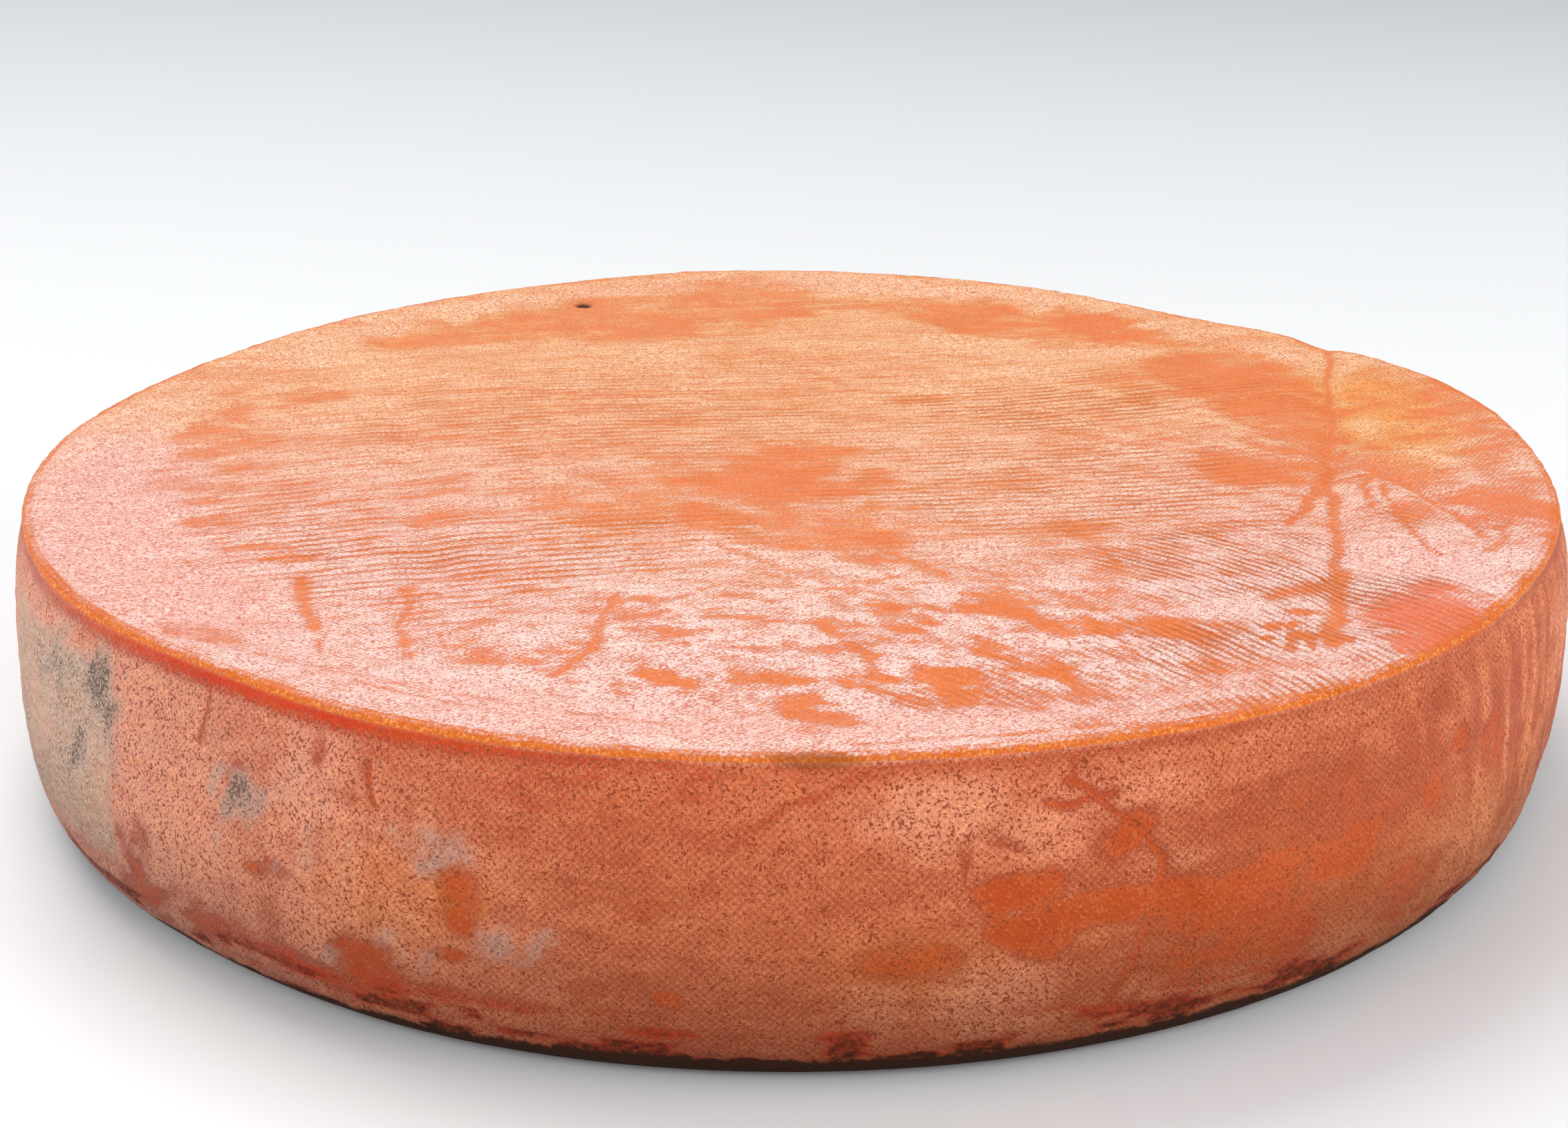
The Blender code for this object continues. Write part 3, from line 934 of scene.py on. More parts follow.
def column_angles():
    """The angle of each column in degrees, at equal steps from the grid's first corner."""
    return -45 + 360 * np.arange(COLUMNS) / COLUMNS


print("cells over the top:", CELLS**2, "columns:", COLUMNS)


# %% Profiles of the bead and the side
SEAM_HEIGHT = 53.5 * MM
BEAD_ROWS = 5
LIP_ROWS = 4
SIDE_ROWS = 76
FINE_STEPS = 4000
# The relief stands on a surface drawn in by this much, so that it stays inside the solid's box
SKIN_INSET = 0.45 * MM


def bead_profile():
    """(radius, height) from the end of the flat top round a quarter circle and down to the seam."""
    middle = RIM_RADIUS - BEAD_RADIUS
    lean = np.linspace(0, np.pi / 2, BEAD_ROWS + 1)[1:]
    drop = BEAD_RADIUS * (1 - np.cos(lean))
    round_part = np.stack([middle + BEAD_RADIUS * np.sin(lean), HEIGHT - drop], -1)
    heights = np.linspace(HEIGHT - BEAD_RADIUS, SEAM_HEIGHT, LIP_ROWS + 1)[1:]
    return np.concatenate([round_part, np.stack([necked(heights), heights], -1)])


def necked(height):
    """The side's radius less the neck, a bell under the bead. At the bead itself there is no neck."""
    neck = NECK_DEPTH * bell(height - (HEIGHT - NECK_HEIGHT / 2), NECK_HEIGHT / 3)
    return side_radius(height) - neck


def side_profile():
    """(radius, height) from the seam to the base: the curve is cut into very short pieces, and their
    summed lengths give points at equal steps along it."""
    height = SEAM_HEIGHT * (1 - np.sin(np.linspace(0, np.pi / 2, FINE_STEPS)))
    radius = necked(height)
    length = np.concatenate([[0], np.cumsum(np.hypot(np.diff(radius), np.diff(height)))])
    steps = np.linspace(0, length[-1], SIDE_ROWS + 1)
    return np.stack([np.interp(steps, length, radius), np.interp(steps, length, height)], -1)


profile_steps = np.diff(side_profile(), axis=0)
print("length of the side's profile, mm:", round(float(np.hypot(*profile_steps.T).sum()) / MM, 1))


# %% Mesh from arrays
def band_quads(rows):
    """Quads between rows of COLUMNS points, given each row's point numbers, from the top down."""
    following = np.roll(rows, -1, axis=1)
    return np.stack([rows[:-1], rows[1:], following[1:], following[:-1]], -1).reshape(-1, 4)


def cap(ring, middle, upwards):
    """Triangles from a ring of points, which runs counter-clockwise, to one in its middle."""
    following = np.roll(ring, -1)
    pair = (ring, following) if upwards else (following, ring)
    return np.stack([pair[0], pair[1], np.full(len(ring), middle)], -1)


def make_piece(name, points, quads, triangles, fields, maps):
    """A mesh from whole arrays. fields hold a value for each point, maps a (u, v) for each corner."""
    mesh = bpy.data.meshes.new(name)
    corners = np.concatenate([quads.ravel(), triangles.ravel()]).astype(np.int32)
    starts = np.concatenate([4 * np.arange(len(quads)), 4 * len(quads) + 3 * np.arange(len(triangles))])
    mesh.vertices.add(len(points))
    mesh.loops.add(len(corners))
    mesh.polygons.add(len(quads) + len(triangles))
    mesh.vertices.foreach_set("co", points.astype(np.float32).ravel())
    mesh.loops.foreach_set("vertex_index", corners)
    mesh.polygons.foreach_set("loop_start", starts.astype(np.int32))
    mesh.update(calc_edges=True)
    for field, values in fields.items():
        layer = mesh.attributes.new(field, "FLOAT", "POINT")
        layer.data.foreach_set("value", values.astype(np.float32))
    for map_name, values in maps.items():
        layer = mesh.uv_layers.new(name=map_name)
        layer.uv.foreach_set("vector", values.astype(np.float32).ravel())
    mesh.validate()
    mesh.shade_smooth()
    piece = bpy.data.objects.new(name, mesh)
    bpy.context.scene.collection.objects.link(piece)
    print(name, "points:", len(points), "triangles:", 2 * len(quads) + len(triangles))
    return piece


print("mesh maker ready")


# %% Middle in plan
# Between these shares of the height the wheel is widest
WIDEST_LEVELS = (0.3, 0.6)


def wheel_middle():
    """Half way between the least and greatest x and y of the side's widest ring, which is where the
    solid's origin lies."""
    angles = np.linspace(0, 360, 1440, endpoint=False)
    angle, height = np.meshgrid(angles, np.linspace(*WIDEST_LEVELS, 16) * HEIGHT)
    ring = place(side_radius(height), angle, height, 1.0).reshape(-1, 3)
    return (ring.min(0) + ring.max(0))[:2] / 2


MIDDLE = wheel_middle()
print("middle of the wheel in plan, mm:", np.round(MIDDLE / MM, 2))


# %% The bead and the lip
def quad_columns(rows):
    """The column number at each corner of the quads of some rows, in the order of band_quads."""
    column = np.tile(np.arange(COLUMNS), rows)
    return np.stack([column, column, column + 1, column + 1], -1)


def arc_of(column):
    """The length round the side from angle 0 to a column, in mm."""
    return (-45 + 360 * column / COLUMNS) * DEGREE


def blended(first, second, share):
    """Each field of the first times what the share leaves, plus that of the second times the share."""
    return {field: first[field] * (1 - share) + second[field] * share for field in first}


def bead_parts(angle):
    """Points and fields of the bead and the lip. The top's fields and relief pass into the side's over
    the bead, the relief stands along the bead's own outward direction, and crest is strongest where
    the bead is worn."""
    rows = bead_profile()
    radius, height = (np.repeat(column[:, None], len(angle), 1) for column in rows.T)
    angle = np.repeat(angle[None, :] % 360, len(rows), 0)
    on_side = smooth((HEIGHT - height) / BEAD_RADIUS)
    points = place(radius, angle, height, on_side)
    x, y = points[..., 0] / MM, points[..., 1] / MM
    top = top_fields(x, y, (RIM_RADIUS - radius) / MM)
    side = side_fields(angle, height / MM)
    fields = blended(top, side, on_side)
    relief = top_relief(x, y, top) * (1 - on_side)
    relief += side_relief(angle, height / MM, side) * on_side
    relief += 0.35 * (mottle(angle * DEGREE, height / MM, 2.6, 113, 2) - 0.5) * bell(on_side - 0.4, 0.5)
    lean = np.clip((HEIGHT - height) / BEAD_RADIUS, 0, 1) * np.pi / 2
    turn = np.radians(angle)
    out = np.stack([np.sin(lean) * np.cos(turn), np.sin(lean) * np.sin(turn), np.cos(lean)], -1)
    fields["crest"] = bell(on_side - 0.24, 0.28)
    return points + out * (relief * MM - SKIN_INSET)[..., None], fields


print("points round the bead and the lip:", len(bead_profile()) * COLUMNS)


# %% Maps of the top
# The finish can be baked through this map, which lays the surface out with little stretch
BAKE_MAP = "OFBake"
# Small disc for the hidden cap in the map: its middle and its radius
CORNER_DISC = (0.045, 0.045, 0.035)
# The longest way over the surface from the middle of the top to the seam
DISC_REACH = RIM_RADIUS + 14 * MM


def top_maps(points, corners, hidden, lip_from, lip_to):
    """Coordinates along and across both families of ribs in mm, and a map for baking: a disc whose
    radius is the length along the surface from the middle. The hidden cap's corners go to a small disc
    in the map's corner. The lip, from one quad to another, counts its threads round the side as the
    side does."""
    x, y = (points[:, :2] + MIDDLE).T / MM
    long_ribs, curved_ribs = top_threads(x, y)
    radius = np.hypot(points[:, 0], points[:, 1])
    turn = np.arctan2(points[:, 1], points[:, 0])
    drop = np.clip(HEIGHT - 2 * MM - points[:, 2], 0, 1)
    reach = (radius + 1.2 * drop) / DISC_REACH / 2
    disc = np.stack([0.5 + reach * np.cos(turn), 0.5 + reach * np.sin(turn)], -1)[corners]
    u, v, small = CORNER_DISC
    away = small * radius / RIM_RADIUS
    tucked = np.stack([u + away * np.cos(turn), v + away * np.sin(turn)], -1)
    disc[-hidden:] = tucked[corners[-hidden:]]
    threads = np.stack(long_ribs, -1)[corners]
    arc = arc_of(quad_columns((lip_to - lip_from) // COLUMNS))
    lip = slice(4 * lip_from, 4 * lip_to)
    threads[lip] = np.stack([arc.ravel(), points[corners[lip], 2] / MM], -1)
    return {
        BAKE_MAP: disc,
        "threads": threads,
        "curved_threads": np.stack(curved_ribs, -1)[corners],
    }


print("reach of the disc, mm:", round(DISC_REACH / MM))


# %% The top, from its middle over the bead to the seam
# This many rows of the bead's quads still count as the top's
LIP_FROM = 3


def make_top():
    """The pressed grid, lifted by the relief, then the rows of the bead and the lip, closed below by a
    flat fan of triangles round a middle point."""
    share, angle = pressed_grid(CELLS)
    radius = share * (RIM_RADIUS - BEAD_RADIUS)
    points = place(radius, angle, np.full(radius.shape, HEIGHT), 0.0)
    x, y = points[:, 0] / MM, points[:, 1] / MM
    fields = top_fields(x, y, (RIM_RADIUS - radius) / MM)
    relief = top_relief(x, y, fields)
    points[:, 2] += relief * MM - SKIN_INSET
    fields["crest"] = 0.6 * smooth(1 - (RIM_RADIUS - BEAD_RADIUS - radius) / (1.3 * MM))
    bead, bead_fields = bead_parts(column_angles())
    middle = np.array([[0.0, 0.0, bead[-1, :, 2].mean()]])
    every_point = np.concatenate([points, bead.reshape(-1, 3), middle])
    every_point[:, :2] -= MIDDLE
    merged = {
        field: np.concatenate([values, bead_fields[field].ravel(), [0.0]])
        for field, values in fields.items()
    }
    n = CELLS + 1
    corner = (np.arange(CELLS)[:, None] * n + np.arange(CELLS)).ravel()
    grid_quads = np.stack([corner, corner + n, corner + n + 1, corner + 1], -1)
    rings = len(points) + np.arange(len(bead) * COLUMNS).reshape(len(bead), COLUMNS)
    rows = np.concatenate([edge_of_grid(CELLS)[None, :], rings])
    quads = np.concatenate([grid_quads, band_quads(rows)])
    triangles = cap(rings[-1], len(every_point) - 1, False)
    corners = np.concatenate([quads.ravel(), triangles.ravel()])
    lip_from = len(grid_quads) + LIP_FROM * COLUMNS
    maps = top_maps(every_point, corners, 3 * len(triangles), lip_from, len(quads))
    return make_piece("top_of_wheel", every_point, quads, triangles, merged, maps)


top = make_top()


# %% Maps of the side
# The side's map for baking: strips above each other, then two discs as middle and radius
STRIPS = 4
STRIP_HEIGHT = 0.15
STRIP_MARGIN = 0.02
BASE_DISC = (0.19, 0.805, 0.18)
CAP_DISC = (0.6, 0.805, 0.18)


def side_maps(points, quads, triangles, side_rows):
    """Thread coordinates (length round the side, height) in mm, and a map for baking: the side as four
    strips above each other, with the base and the hidden cap as discs over them."""
    column = quad_columns(len(quads) // COLUMNS)
    row = quads // COLUMNS
    on_side = (row < side_rows).all(1)
    level = row / (side_rows - 1)
    in_strip = COLUMNS // STRIPS
    strip = column[:, :1] // in_strip
    u = column / in_strip - strip
    v = (strip + 1 - STRIP_MARGIN - (1 - 2 * STRIP_MARGIN) * level) * STRIP_HEIGHT
    x, y = points[:, 0] / RIM_RADIUS, points[:, 1] / RIM_RADIUS
    cu, cv, size = BASE_DISC
    base_map = np.stack([cu + size * x, cv + size * y], -1)
    side_quad = on_side[:, None, None]
    baked = np.where(side_quad, np.stack([u, v], -1), base_map[quads]).reshape(-1, 2)
    shift = np.array([CAP_DISC[0] - cu, 0.0])
    tail = base_map[triangles].reshape(-1, 2)
    tail[len(tail) // 2 :] += shift
    height = points[:, 2][quads] / MM
    flat = points[:, :2] / MM
    threads = np.where(side_quad, np.stack([arc_of(column), height], -1), flat[quads])
    threads = np.concatenate([threads.reshape(-1, 2), flat[triangles].reshape(-1, 2)])
    return {
        BAKE_MAP: np.concatenate([baked, tail]),
        "threads": threads,
        "curved_threads": threads[:, ::-1].copy(),
    }


print("strips in the map:", STRIPS, "columns in each:", COLUMNS // STRIPS)


# %% The side and the base
# Rings of the base, as shares of its radius
BASE_RINGS = (0.975, 0.93, 0.86, 0.77, 0.66, 0.53, 0.39, 0.25, 0.12)


def make_side():
    """The profile carried round in columns and pushed out by the relief, then the rings of the base,
    each a share of the side's last row. Fans of triangles close the base and the hidden seam."""
    rows = side_profile()
    angle = column_angles()
    radius, height = (np.repeat(column[:, None], COLUMNS, 1) for column in rows.T)
    angle = np.repeat(angle[None, :] % 360, len(rows), 0)
    points = place(radius, angle, height, 1.0)
    fields = side_fields(angle, height / MM)
    relief = side_relief(angle, height / MM, fields) * smooth(height / (4 * MM))
    turn = np.radians(angle)
    out = np.stack([np.cos(turn), np.sin(turn), 0 * turn], -1)
    points = points + out * (relief * MM - SKIN_INSET)[..., None]
    base = points[-1] * (1, 1, 0) * np.array(BASE_RINGS)[:, None, None]
    below = base_fields(base[..., 0] / MM, base[..., 1] / MM)
    middles = np.array([[0.0, 0.0, 0.0], [0.0, 0.0, points[0, :, 2].mean()]])
    every_point = np.concatenate([points.reshape(-1, 3), base.reshape(-1, 3), middles])
    every_point[:, :2] -= MIDDLE
    merged = {
        field: np.concatenate([values.ravel(), below[field].ravel(), [below[field][-1].mean(), 0.0]])
        for field, values in fields.items()
    }
    merged["crest"] = np.zeros(len(every_point))
    rings = np.arange((len(rows) + len(BASE_RINGS)) * COLUMNS).reshape(-1, COLUMNS)
    quads = band_quads(rings)
    count = len(every_point)
    triangles = np.concatenate([cap(rings[-1], count - 2, False), cap(rings[0], count - 1, True)])
    maps = side_maps(every_point, quads, triangles, len(rows))
    return make_piece("side_of_wheel", every_point, quads, triangles, merged, maps)


side = make_side()

# %% [markdown]
# ## The rind
#
# One material covers both pieces. It could be painted, but a painted skin stretches and has one
# fixed sharpness. Here the fields above say where bloom, bare rind and mould lie, and noise nodes
# give each of them its grain. The noise follows the threads, so that bloom wears off in streaks and
# dots, as it does on the ridges of a cloth print. A small class keeps the nodes readable.


# %% Node helpers
class Recipe:
    """Adds nodes to one material and returns their outputs, so that a finish reads as a sum."""

    def __init__(self, name):
        self.material = bpy.data.materials.new(name)
        self.material.use_nodes = True
        self.tree = self.material.node_tree
        self.shader = self.tree.nodes["Principled BSDF"]

    def node(self, kind, output=0, inputs=(), **settings):
        """A new node's output. An input that is itself an output is linked, any other is set."""
        made = self.tree.nodes.new(kind)
        for key, value in settings.items():
            setattr(made, key, value)
        for key, value in dict(inputs).items():
            if isinstance(value, bpy.types.NodeSocket):
                self.tree.links.new(value, made.inputs[key])
            else:
                made.inputs[key].default_value = value
        return made.outputs[output]

    def finish(self, socket, value):
        """Links a value to one of the shader's own sockets."""
        self.tree.links.new(value, self.shader.inputs[socket])

    def field(self, name):
        """One of the fields that the mesh carries."""
        return self.node("ShaderNodeAttribute", "Fac", attribute_name=name)

    def math(self, operation, a, b=0.0):
        """One step of arithmetic on two values."""
        return self.node("ShaderNodeMath", inputs={0: a, 1: b}, operation=operation)

    def times(self, a, b):
        """The product of two values."""
        return self.math("MULTIPLY", a, b)

    def sum(self, *terms):
        """All the values added up."""
        total = terms[0]
        for term in terms[1:]:
            total = self.math("ADD", total, term)
        return total

    def ease(self, value, low, high, to_low=0.0, to_high=1.0):
        """Eased steps: to_low below low, to_high above high."""
        inputs = {"Value": value, "From Min": low, "From Max": high, "To Min": to_low, "To Max": to_high}
        return self.node("ShaderNodeMapRange", inputs=inputs, interpolation_type="SMOOTHSTEP")

    def noise(self, where, size, detail=2.0, stretch=(1, 1, 1), rough=0.55):
        """Noise whose lumps are about size wide, in the units of the coordinates, less a half."""
        scale = [share / size for share in stretch]
        scaled = self.node("ShaderNodeMapping", inputs={"Vector": where, "Scale": scale})
        inputs = {"Vector": scaled, "Scale": 1.0, "Detail": detail, "Roughness": rough}
        return self.math("SUBTRACT", self.node("ShaderNodeTexNoise", "Fac", inputs), 0.5)

    def mix(self, share, first, second):
        """A colour that goes from the first to the second with the share."""
        first, second = ((*c, 1) if isinstance(c, tuple) else c for c in (first, second))
        inputs = {"Factor": share, 6: first, 7: second}
        return self.node("ShaderNodeMix", 2, inputs, data_type="RGBA", clamp_factor=True)

    def blend(self, share, first, second):
        """A number that goes from the first to the second with the share."""
        inputs = {0: share, 2: first, 3: second}
        return self.node("ShaderNodeMix", 0, inputs, data_type="FLOAT", clamp_factor=True)

    def wave(self, coordinates, axis, pitch, phase=0.0):
        """A sine of one coordinate, with a phase that may wander."""
        along = self.node("ShaderNodeSeparateXYZ", axis, {0: coordinates})
        return self.math("SINE", self.sum(self.times(along, math.tau / pitch), phase))

    def groove(self, coordinates, pitch, phase):
        """Narrow grooves, 1 at the bottom: the third power of a wave between 0 and 1."""
        wave = self.wave(coordinates, "Y", pitch, phase)
        return self.math("POWER", self.sum(self.times(wave, 0.5), 0.5), 3.0)


print("node helpers ready")

# %% [markdown]
# ## Colours of the rind
#
# The rind is orange where it is bare and pale where bloom covers it. On the top the bloom is nearly
# pink, and on the side it is a thin coat over a much deeper orange, so most colours come in pairs.
# They are given as amounts of light, not as screen values, so they look darker here than on screen.

# %% Colours
# Each pair: as it is on the top, as it is on the side
BLOOM = ((0.86, 0.60, 0.54), (0.74, 0.22, 0.10))
WARM_BLOOM = ((0.88, 0.49, 0.25), (0.74, 0.22, 0.075))
# Damp bloom, also used for the painted sheen at the left of the top and of the side
DAMP_BLOOM_AND_SHEEN = ((0.88, 0.46, 0.39), (0.74, 0.35, 0.25))
GOLDEN_BLOOM = ((0.90, 0.44, 0.11), (0.66, 0.22, 0.045))
# Pale grains of bloom: partly their own colour, partly a painted highlight
PALE_GRAIN_AND_HIGHLIGHT = ((0.99, 0.76, 0.69), (1.0, 0.41, 0.20))
BARE = ((0.74, 0.155, 0.02), (0.26, 0.020, 0.002))
YELLOW_BARE = ((0.82, 0.28, 0.03), (0.38, 0.06, 0.004))
RED_BARE = ((0.76, 0.13, 0.04), (0.64, 0.03, 0.002))
POLISHED = ((0.76, 0.165, 0.02), (0.47, 0.058, 0.004))
# Painted shade in the hollows between grains
PAINTED_HOLLOW_SHADE = ((0.58, 0.12, 0.04), (0.24, 0.024, 0.003))
DEEP_BARE = (0.592, 0.124, 0.016)
CREST = (0.68, 0.13, 0.010)
# Painted glints on the crest of the bead
PAINTED_CREST_GLINT = (0.90, 0.35, 0.09)
FILM_PALE = (0.66, 0.50, 0.38)
FILM_MID = (0.40, 0.28, 0.18)
MOULD_DARK = (0.085, 0.06, 0.038)
MOULD_VEIL = (0.50, 0.35, 0.28)
# Nearly black: dark streaks, and the painted shade and contact shadow at the foot and in the pin hole
DARK_STAIN_AND_SHADE = (0.03, 0.007, 0.001)
OLIVE = (0.21, 0.055, 0.008)
print("bloom on the top and on the side:", *BLOOM)

# %% [markdown]
# ## Where the rind shows
#
# The fields say where the rind is bare, but only at each point of the mesh, about a millimetre apart.
# Noise in three sizes, streaks along the threads and the two sets of grooves are added to them, and
# the sum is cut at a half. Above the cut the rind shows. The side's cut is softer than the top's,
# because its bloom thins out grain by grain.

# %% Noise and the cut
WEAVE_PITCH = 1.4
BUMP_HEIGHT = 0.8 * MM
# Where the cut begins and ends, as (on the top, on the side)
CUT_FROM = (0.42, 0.22)
CUT_TO = (0.58, 0.78)


def lay_noises(r):
    """Lumps in three sizes on Object coordinates. Then streaks, flakes, weave (the product of two
    waves) and grooves on the coordinates of the threads."""
    here = r.node("ShaderNodeTexCoord", "Object")
    threads = r.node("ShaderNodeUVMap", uv_map="threads")
    curved = r.node("ShaderNodeUVMap", uv_map="curved_threads")
    r.on_side = r.field("on_side")
    r.fine = r.noise(here, 1.2 * MM, 4.0, rough=0.7)
    r.grain = r.noise(here, 0.5 * MM, 1.5)
    r.patch = r.noise(here, 14 * MM, 4.0)
    along_long, along_curved = (r.noise(way, 1.3, 3.0, (0.2, 1, 1)) for way in (threads, curved))
    r.streak = r.blend(r.field("curved_ribs"), along_long, along_curved)
    top_flakes = r.noise(curved, 4.5, 5.0, (0.4, 1, 1), 0.8)
    side_flakes = r.noise(threads, 4.0, 5.0, (0.5, 1, 1), 0.75)
    r.flakes = r.times(r.field("torn"), r.blend(r.on_side, top_flakes, side_flakes))
    slow = r.times(r.patch, 5.0)
    jitter = r.sum(slow, r.times(r.fine, 3.0))
    r.weave = r.times(r.wave(threads, "X", WEAVE_PITCH, jitter), r.wave(threads, "Y", WEAVE_PITCH, slow))
    grooves = r.sum(
        r.times(r.field("ribs"), r.groove(threads, RIB_PITCH, slow)),
        r.times(r.field("curved_ribs"), r.groove(curved, CURVED_RIB_PITCH, slow)),
    )
    r.groove_depth = r.times(grooves, r.ease(r.sum(r.patch, r.streak), -0.25, 0.2, 0.25, 1.0))


def cut_bloom(r):
    """cut: the weighted sum of the bare field and the noises. shows: the cut eased between its two
    ends, times a haze of bloom that stays on rind that is only just bare."""
    r.bare = r.field("bare")
    r.cut = r.sum(
        r.times(r.flakes, r.blend(r.on_side, 2.7, 1.5)),
        r.times(r.bare, 0.75),
        0.06,
        r.times(r.fine, 1.5),
        r.times(r.grain, r.blend(r.on_side, 1.0, 2.4)),
        r.times(r.streak, r.blend(r.on_side, 1.1, 0.5)),
        r.times(r.weave, r.blend(r.on_side, 0.22, 0.12)),
        # More bare rind at the bottom of the grooves: partly painted shade in them
        r.times(r.groove_depth, 0.55),
    )
    shows = r.ease(r.cut, r.blend(r.on_side, *CUT_FROM), r.blend(r.on_side, *CUT_TO))
    haze = r.ease(r.sum(r.cut, r.times(r.fine, 1.5)), 0.5, 1.0, 0.78, 1.0)
    r.shows = r.times(shows, haze)


rind = Recipe("washed_rind")
lay_noises(rind)
cut_bloom(rind)
print("nodes up to the cut:", len(rind.tree.nodes))

# %% [markdown]
# ## Layers of colour
#
# The layers lie as they grew. Rind and bloom come first. Then each grain of bloom that stands out is
# made paler, partly by its own colour and partly by a painted highlight, and each hollow between grains
# gets painted shade, because at this size the light alone doesn't part them. The orange crest of the
# bead with its painted glints, the cream film, the grey moulds, the dark stain and the painted shade
# at the foot go over that.


# %% Rind, bloom, grains and crest
def both(r, pair):
    """The top's colour turning into the side's."""
    return r.mix(r.on_side, *pair)


def rind_and_bloom(r):
    """Each kind is mixed in by its field, then the bloom goes over the rind where the rind doesn't show."""
    yellow = r.field("yellow")
    bare_rind = r.mix(yellow, both(r, BARE), both(r, YELLOW_BARE))
    bare_rind = r.mix(r.ease(r.bare, 0.62, 0.95), bare_rind, both(r, POLISHED))
    bare_rind = r.mix(r.field("red"), bare_rind, both(r, RED_BARE))
    bare_rind = r.mix(r.ease(r.patch, -0.2, 0.3, 0.0, 0.3), bare_rind, DEEP_BARE)
    bloom = r.mix(r.field("warm"), both(r, BLOOM), both(r, WARM_BLOOM))
    bloom = r.mix(r.field("damp"), bloom, both(r, DAMP_BLOOM_AND_SHEEN))
    bloom = r.mix(r.times(yellow, 0.6), bloom, both(r, GOLDEN_BLOOM))
    bloom = r.mix(r.ease(r.cut, 0.0, 0.5, 0.0, 0.35), bloom, bare_rind)
    return r.mix(r.shows, bloom, bare_rind)


def grain_highlight_and_shade(r, colour):
    """Pale grains, partly their own colour and partly a painted highlight, and painted shade in the hollows
    between them, both weaker where the rind shows or is rubbed red.
    """
    pale = r.sum(r.times(r.grain, 1.6), r.times(r.fine, 1.4), r.times(r.streak, 0.5))
    # Fewer pale grains at the bottom of the grooves: painted shade there
    pale = r.sum(pale, r.times(r.groove_depth, -0.3))
    pale = r.times(r.ease(pale, 0.07, 0.27), r.ease(r.shows, 0.0, 1.0, 0.9, 0.16))
    rubbed = r.times(r.field("red"), r.on_side)
    pale = r.times(pale, r.ease(rubbed, 0.1, 0.7, 1.0, 0.1))
    # Paler grains: partly a painted highlight
    colour = r.mix(pale, colour, both(r, PALE_GRAIN_AND_HIGHLIGHT))
    # Painted shade in the hollows between grains
    hollow_shade = r.sum(r.times(r.grain, 2.0), r.times(r.fine, 1.2))
    hollow_shade = r.ease(hollow_shade, -0.27, -0.07, 1.0, 0.0)
    hollow_shade = r.times(hollow_shade, r.ease(r.shows, 0.0, 1.0, 0.85, 0.25))
    return r.mix(hollow_shade, colour, both(r, PAINTED_HOLLOW_SHADE))


def crest_of_bead(r, colour):
    """The worn, greasy top of the bead, with painted glints where its grains stand out."""
    crest = r.ease(r.sum(r.field("crest"), r.fine, r.times(r.patch, 0.8)), 0.35, 0.75)
    glint = r.sum(r.grain, r.fine, r.times(r.field("crest"), 0.35))
    return r.mix(crest, colour, r.mix(r.ease(glint, 0.2, 0.6), CREST, PAINTED_CREST_GLINT))


wheel_colour = crest_of_bead(rind, grain_highlight_and_shade(rind, rind_and_bloom(rind)))
print("nodes up to the crest:", len(rind.tree.nodes))


# %% Film, mould, stain and painted shade
def film_over(r, colour):
    """A cream film with a noisy edge, held to where its field isn't 0, and a few dark dots."""
    field = r.field("film")
    film = r.ease(r.sum(field, r.times(r.fine, 1.3), r.times(r.patch, 0.8)), 0.25, 1.35)
    film = r.times(film, r.ease(field, 0.0, 0.2))
    tone = r.ease(r.sum(r.times(r.grain, -1.5), r.streak), -0.2, 0.2)
    dots = r.sum(r.times(r.grain, 2.4), r.fine, r.patch, r.times(field, 0.7), -0.8)
    tone = r.mix(r.ease(dots, -0.12, 0.3), r.mix(tone, FILM_MID, FILM_PALE), MOULD_DARK)
    return r.mix(r.times(film, 0.95), colour, tone)


def mould_over(r, colour):
    """Grey moulds: a thin veil, then dark dots that thicken towards the middle of each mould. Both are
    held to where the mould field isn't 0."""
    mould = r.field("mould")
    veil = r.ease(r.sum(mould, r.times(r.fine, 1.3), r.times(r.patch, 0.8)), 0.3, 1.3)
    veil = r.times(veil, r.ease(mould, 0.0, 0.3))
    colour = r.mix(r.times(veil, 0.6), colour, MOULD_VEIL)
    dots = r.ease(r.sum(r.times(r.grain, 2.4), r.fine, r.patch, mould, -1.22), -0.25, 0.3)
    dots = r.times(dots, r.ease(mould, 0.0, 0.4))
    return r.mix(r.times(dots, 0.85), colour, MOULD_DARK)


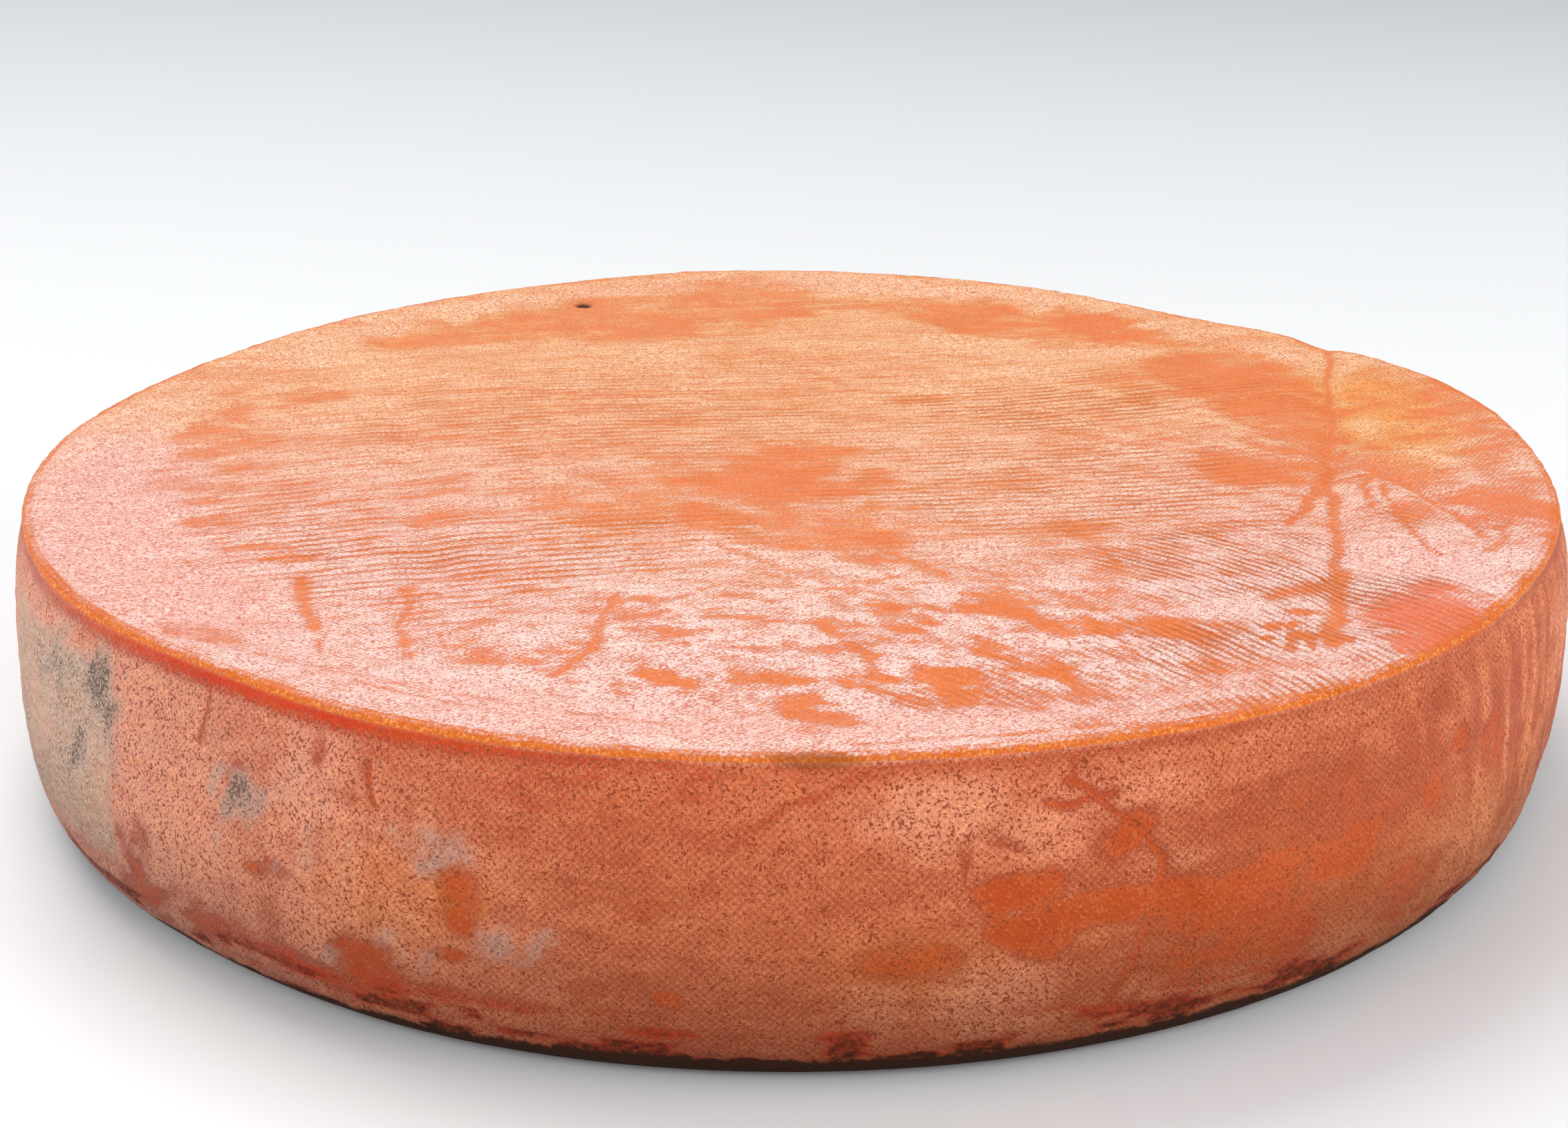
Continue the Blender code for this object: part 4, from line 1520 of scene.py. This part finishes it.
def stain_over(r, colour):
    """Painted shade darkens the lower side and the pin hole to half. Then the stain lies over it: olive
    and thin on the bead, and nearly black and full at the foot, as dark streaks and painted contact shadow."""
    foot = r.field("foot")
    colour = r.mix(r.times(foot, 0.5), colour, DARK_STAIN_AND_SHADE)
    r.stain = r.ease(r.sum(r.field("stain"), r.fine), 0.3, 0.8)
    share = r.blend(foot, r.times(r.stain, 0.5), r.stain)
    return r.mix(share, colour, r.mix(foot, OLIVE, DARK_STAIN_AND_SHADE))


wheel_colour = mould_over(rind, film_over(rind, wheel_colour))
wheel_colour = stain_over(rind, wheel_colour)
rind.finish("Base Color", wheel_colour)
print("nodes up to the stain:", len(rind.tree.nodes))

# %% [markdown]
# ## Sheen and fine relief
#
# Bare rind is a little greasy, damp bloom more so, and the dry foot is dull. What is finer than the
# mesh stands as bump: the grains, the weave and the ribs of the cloth, which are under two
# millimetres apart in places. As real relief they would need ten times the points.


# %% Roughness and bump
RIND_SPECULAR = 0.16


def sheen(r):
    """Roughness: bare or not, plus a share for the side and for the stain and painted shade, less a
    share for the damp zones with their painted sheen.
    """
    return r.sum(
        r.ease(r.shows, 0.0, 1.0, 0.52, 0.42),
        r.times(r.on_side, 0.14),
        r.times(r.field("damp"), -0.16),
        r.times(r.stain, 0.35),
    )


def fine_relief(r):
    """The weighted sum of the noises, the weave and the streaks, less the grooves and bare rind."""
    height = r.sum(
        r.times(r.grain, 0.5),
        r.times(r.fine, 0.8),
        r.times(r.weave, 0.08),
        r.times(r.groove_depth, -0.8),
        r.times(r.streak, 0.7),
        r.times(r.shows, -0.25),
    )
    return r.node("ShaderNodeBump", "Normal", {"Height": height, "Distance": BUMP_HEIGHT, "Strength": 1.0})


rind.finish("Roughness", sheen(rind))
rind.finish("Normal", fine_relief(rind))
rind.shader.inputs["Specular IOR Level"].default_value = RIND_SPECULAR
print("nodes in all:", len(rind.tree.nodes))

# %% [markdown]
# ## Dress the solid
#
# Both pieces ride on the one body, stand for the one node of the solid and wear the same rind. Where
# faces meet at a sharp angle, as at the hidden seam, the shading stops at the edge.

# %% Both pieces
SHARP_ANGLE = 60
for piece in (top, side):
    piece.data.materials.append(rind.material)
    piece.data.set_sharp_from_angle(angle=math.radians(SHARP_ANGLE))
    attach(piece, "root")
    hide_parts("cheese_wheel")
    print(piece.name, "wears", piece.data.materials[0].name)
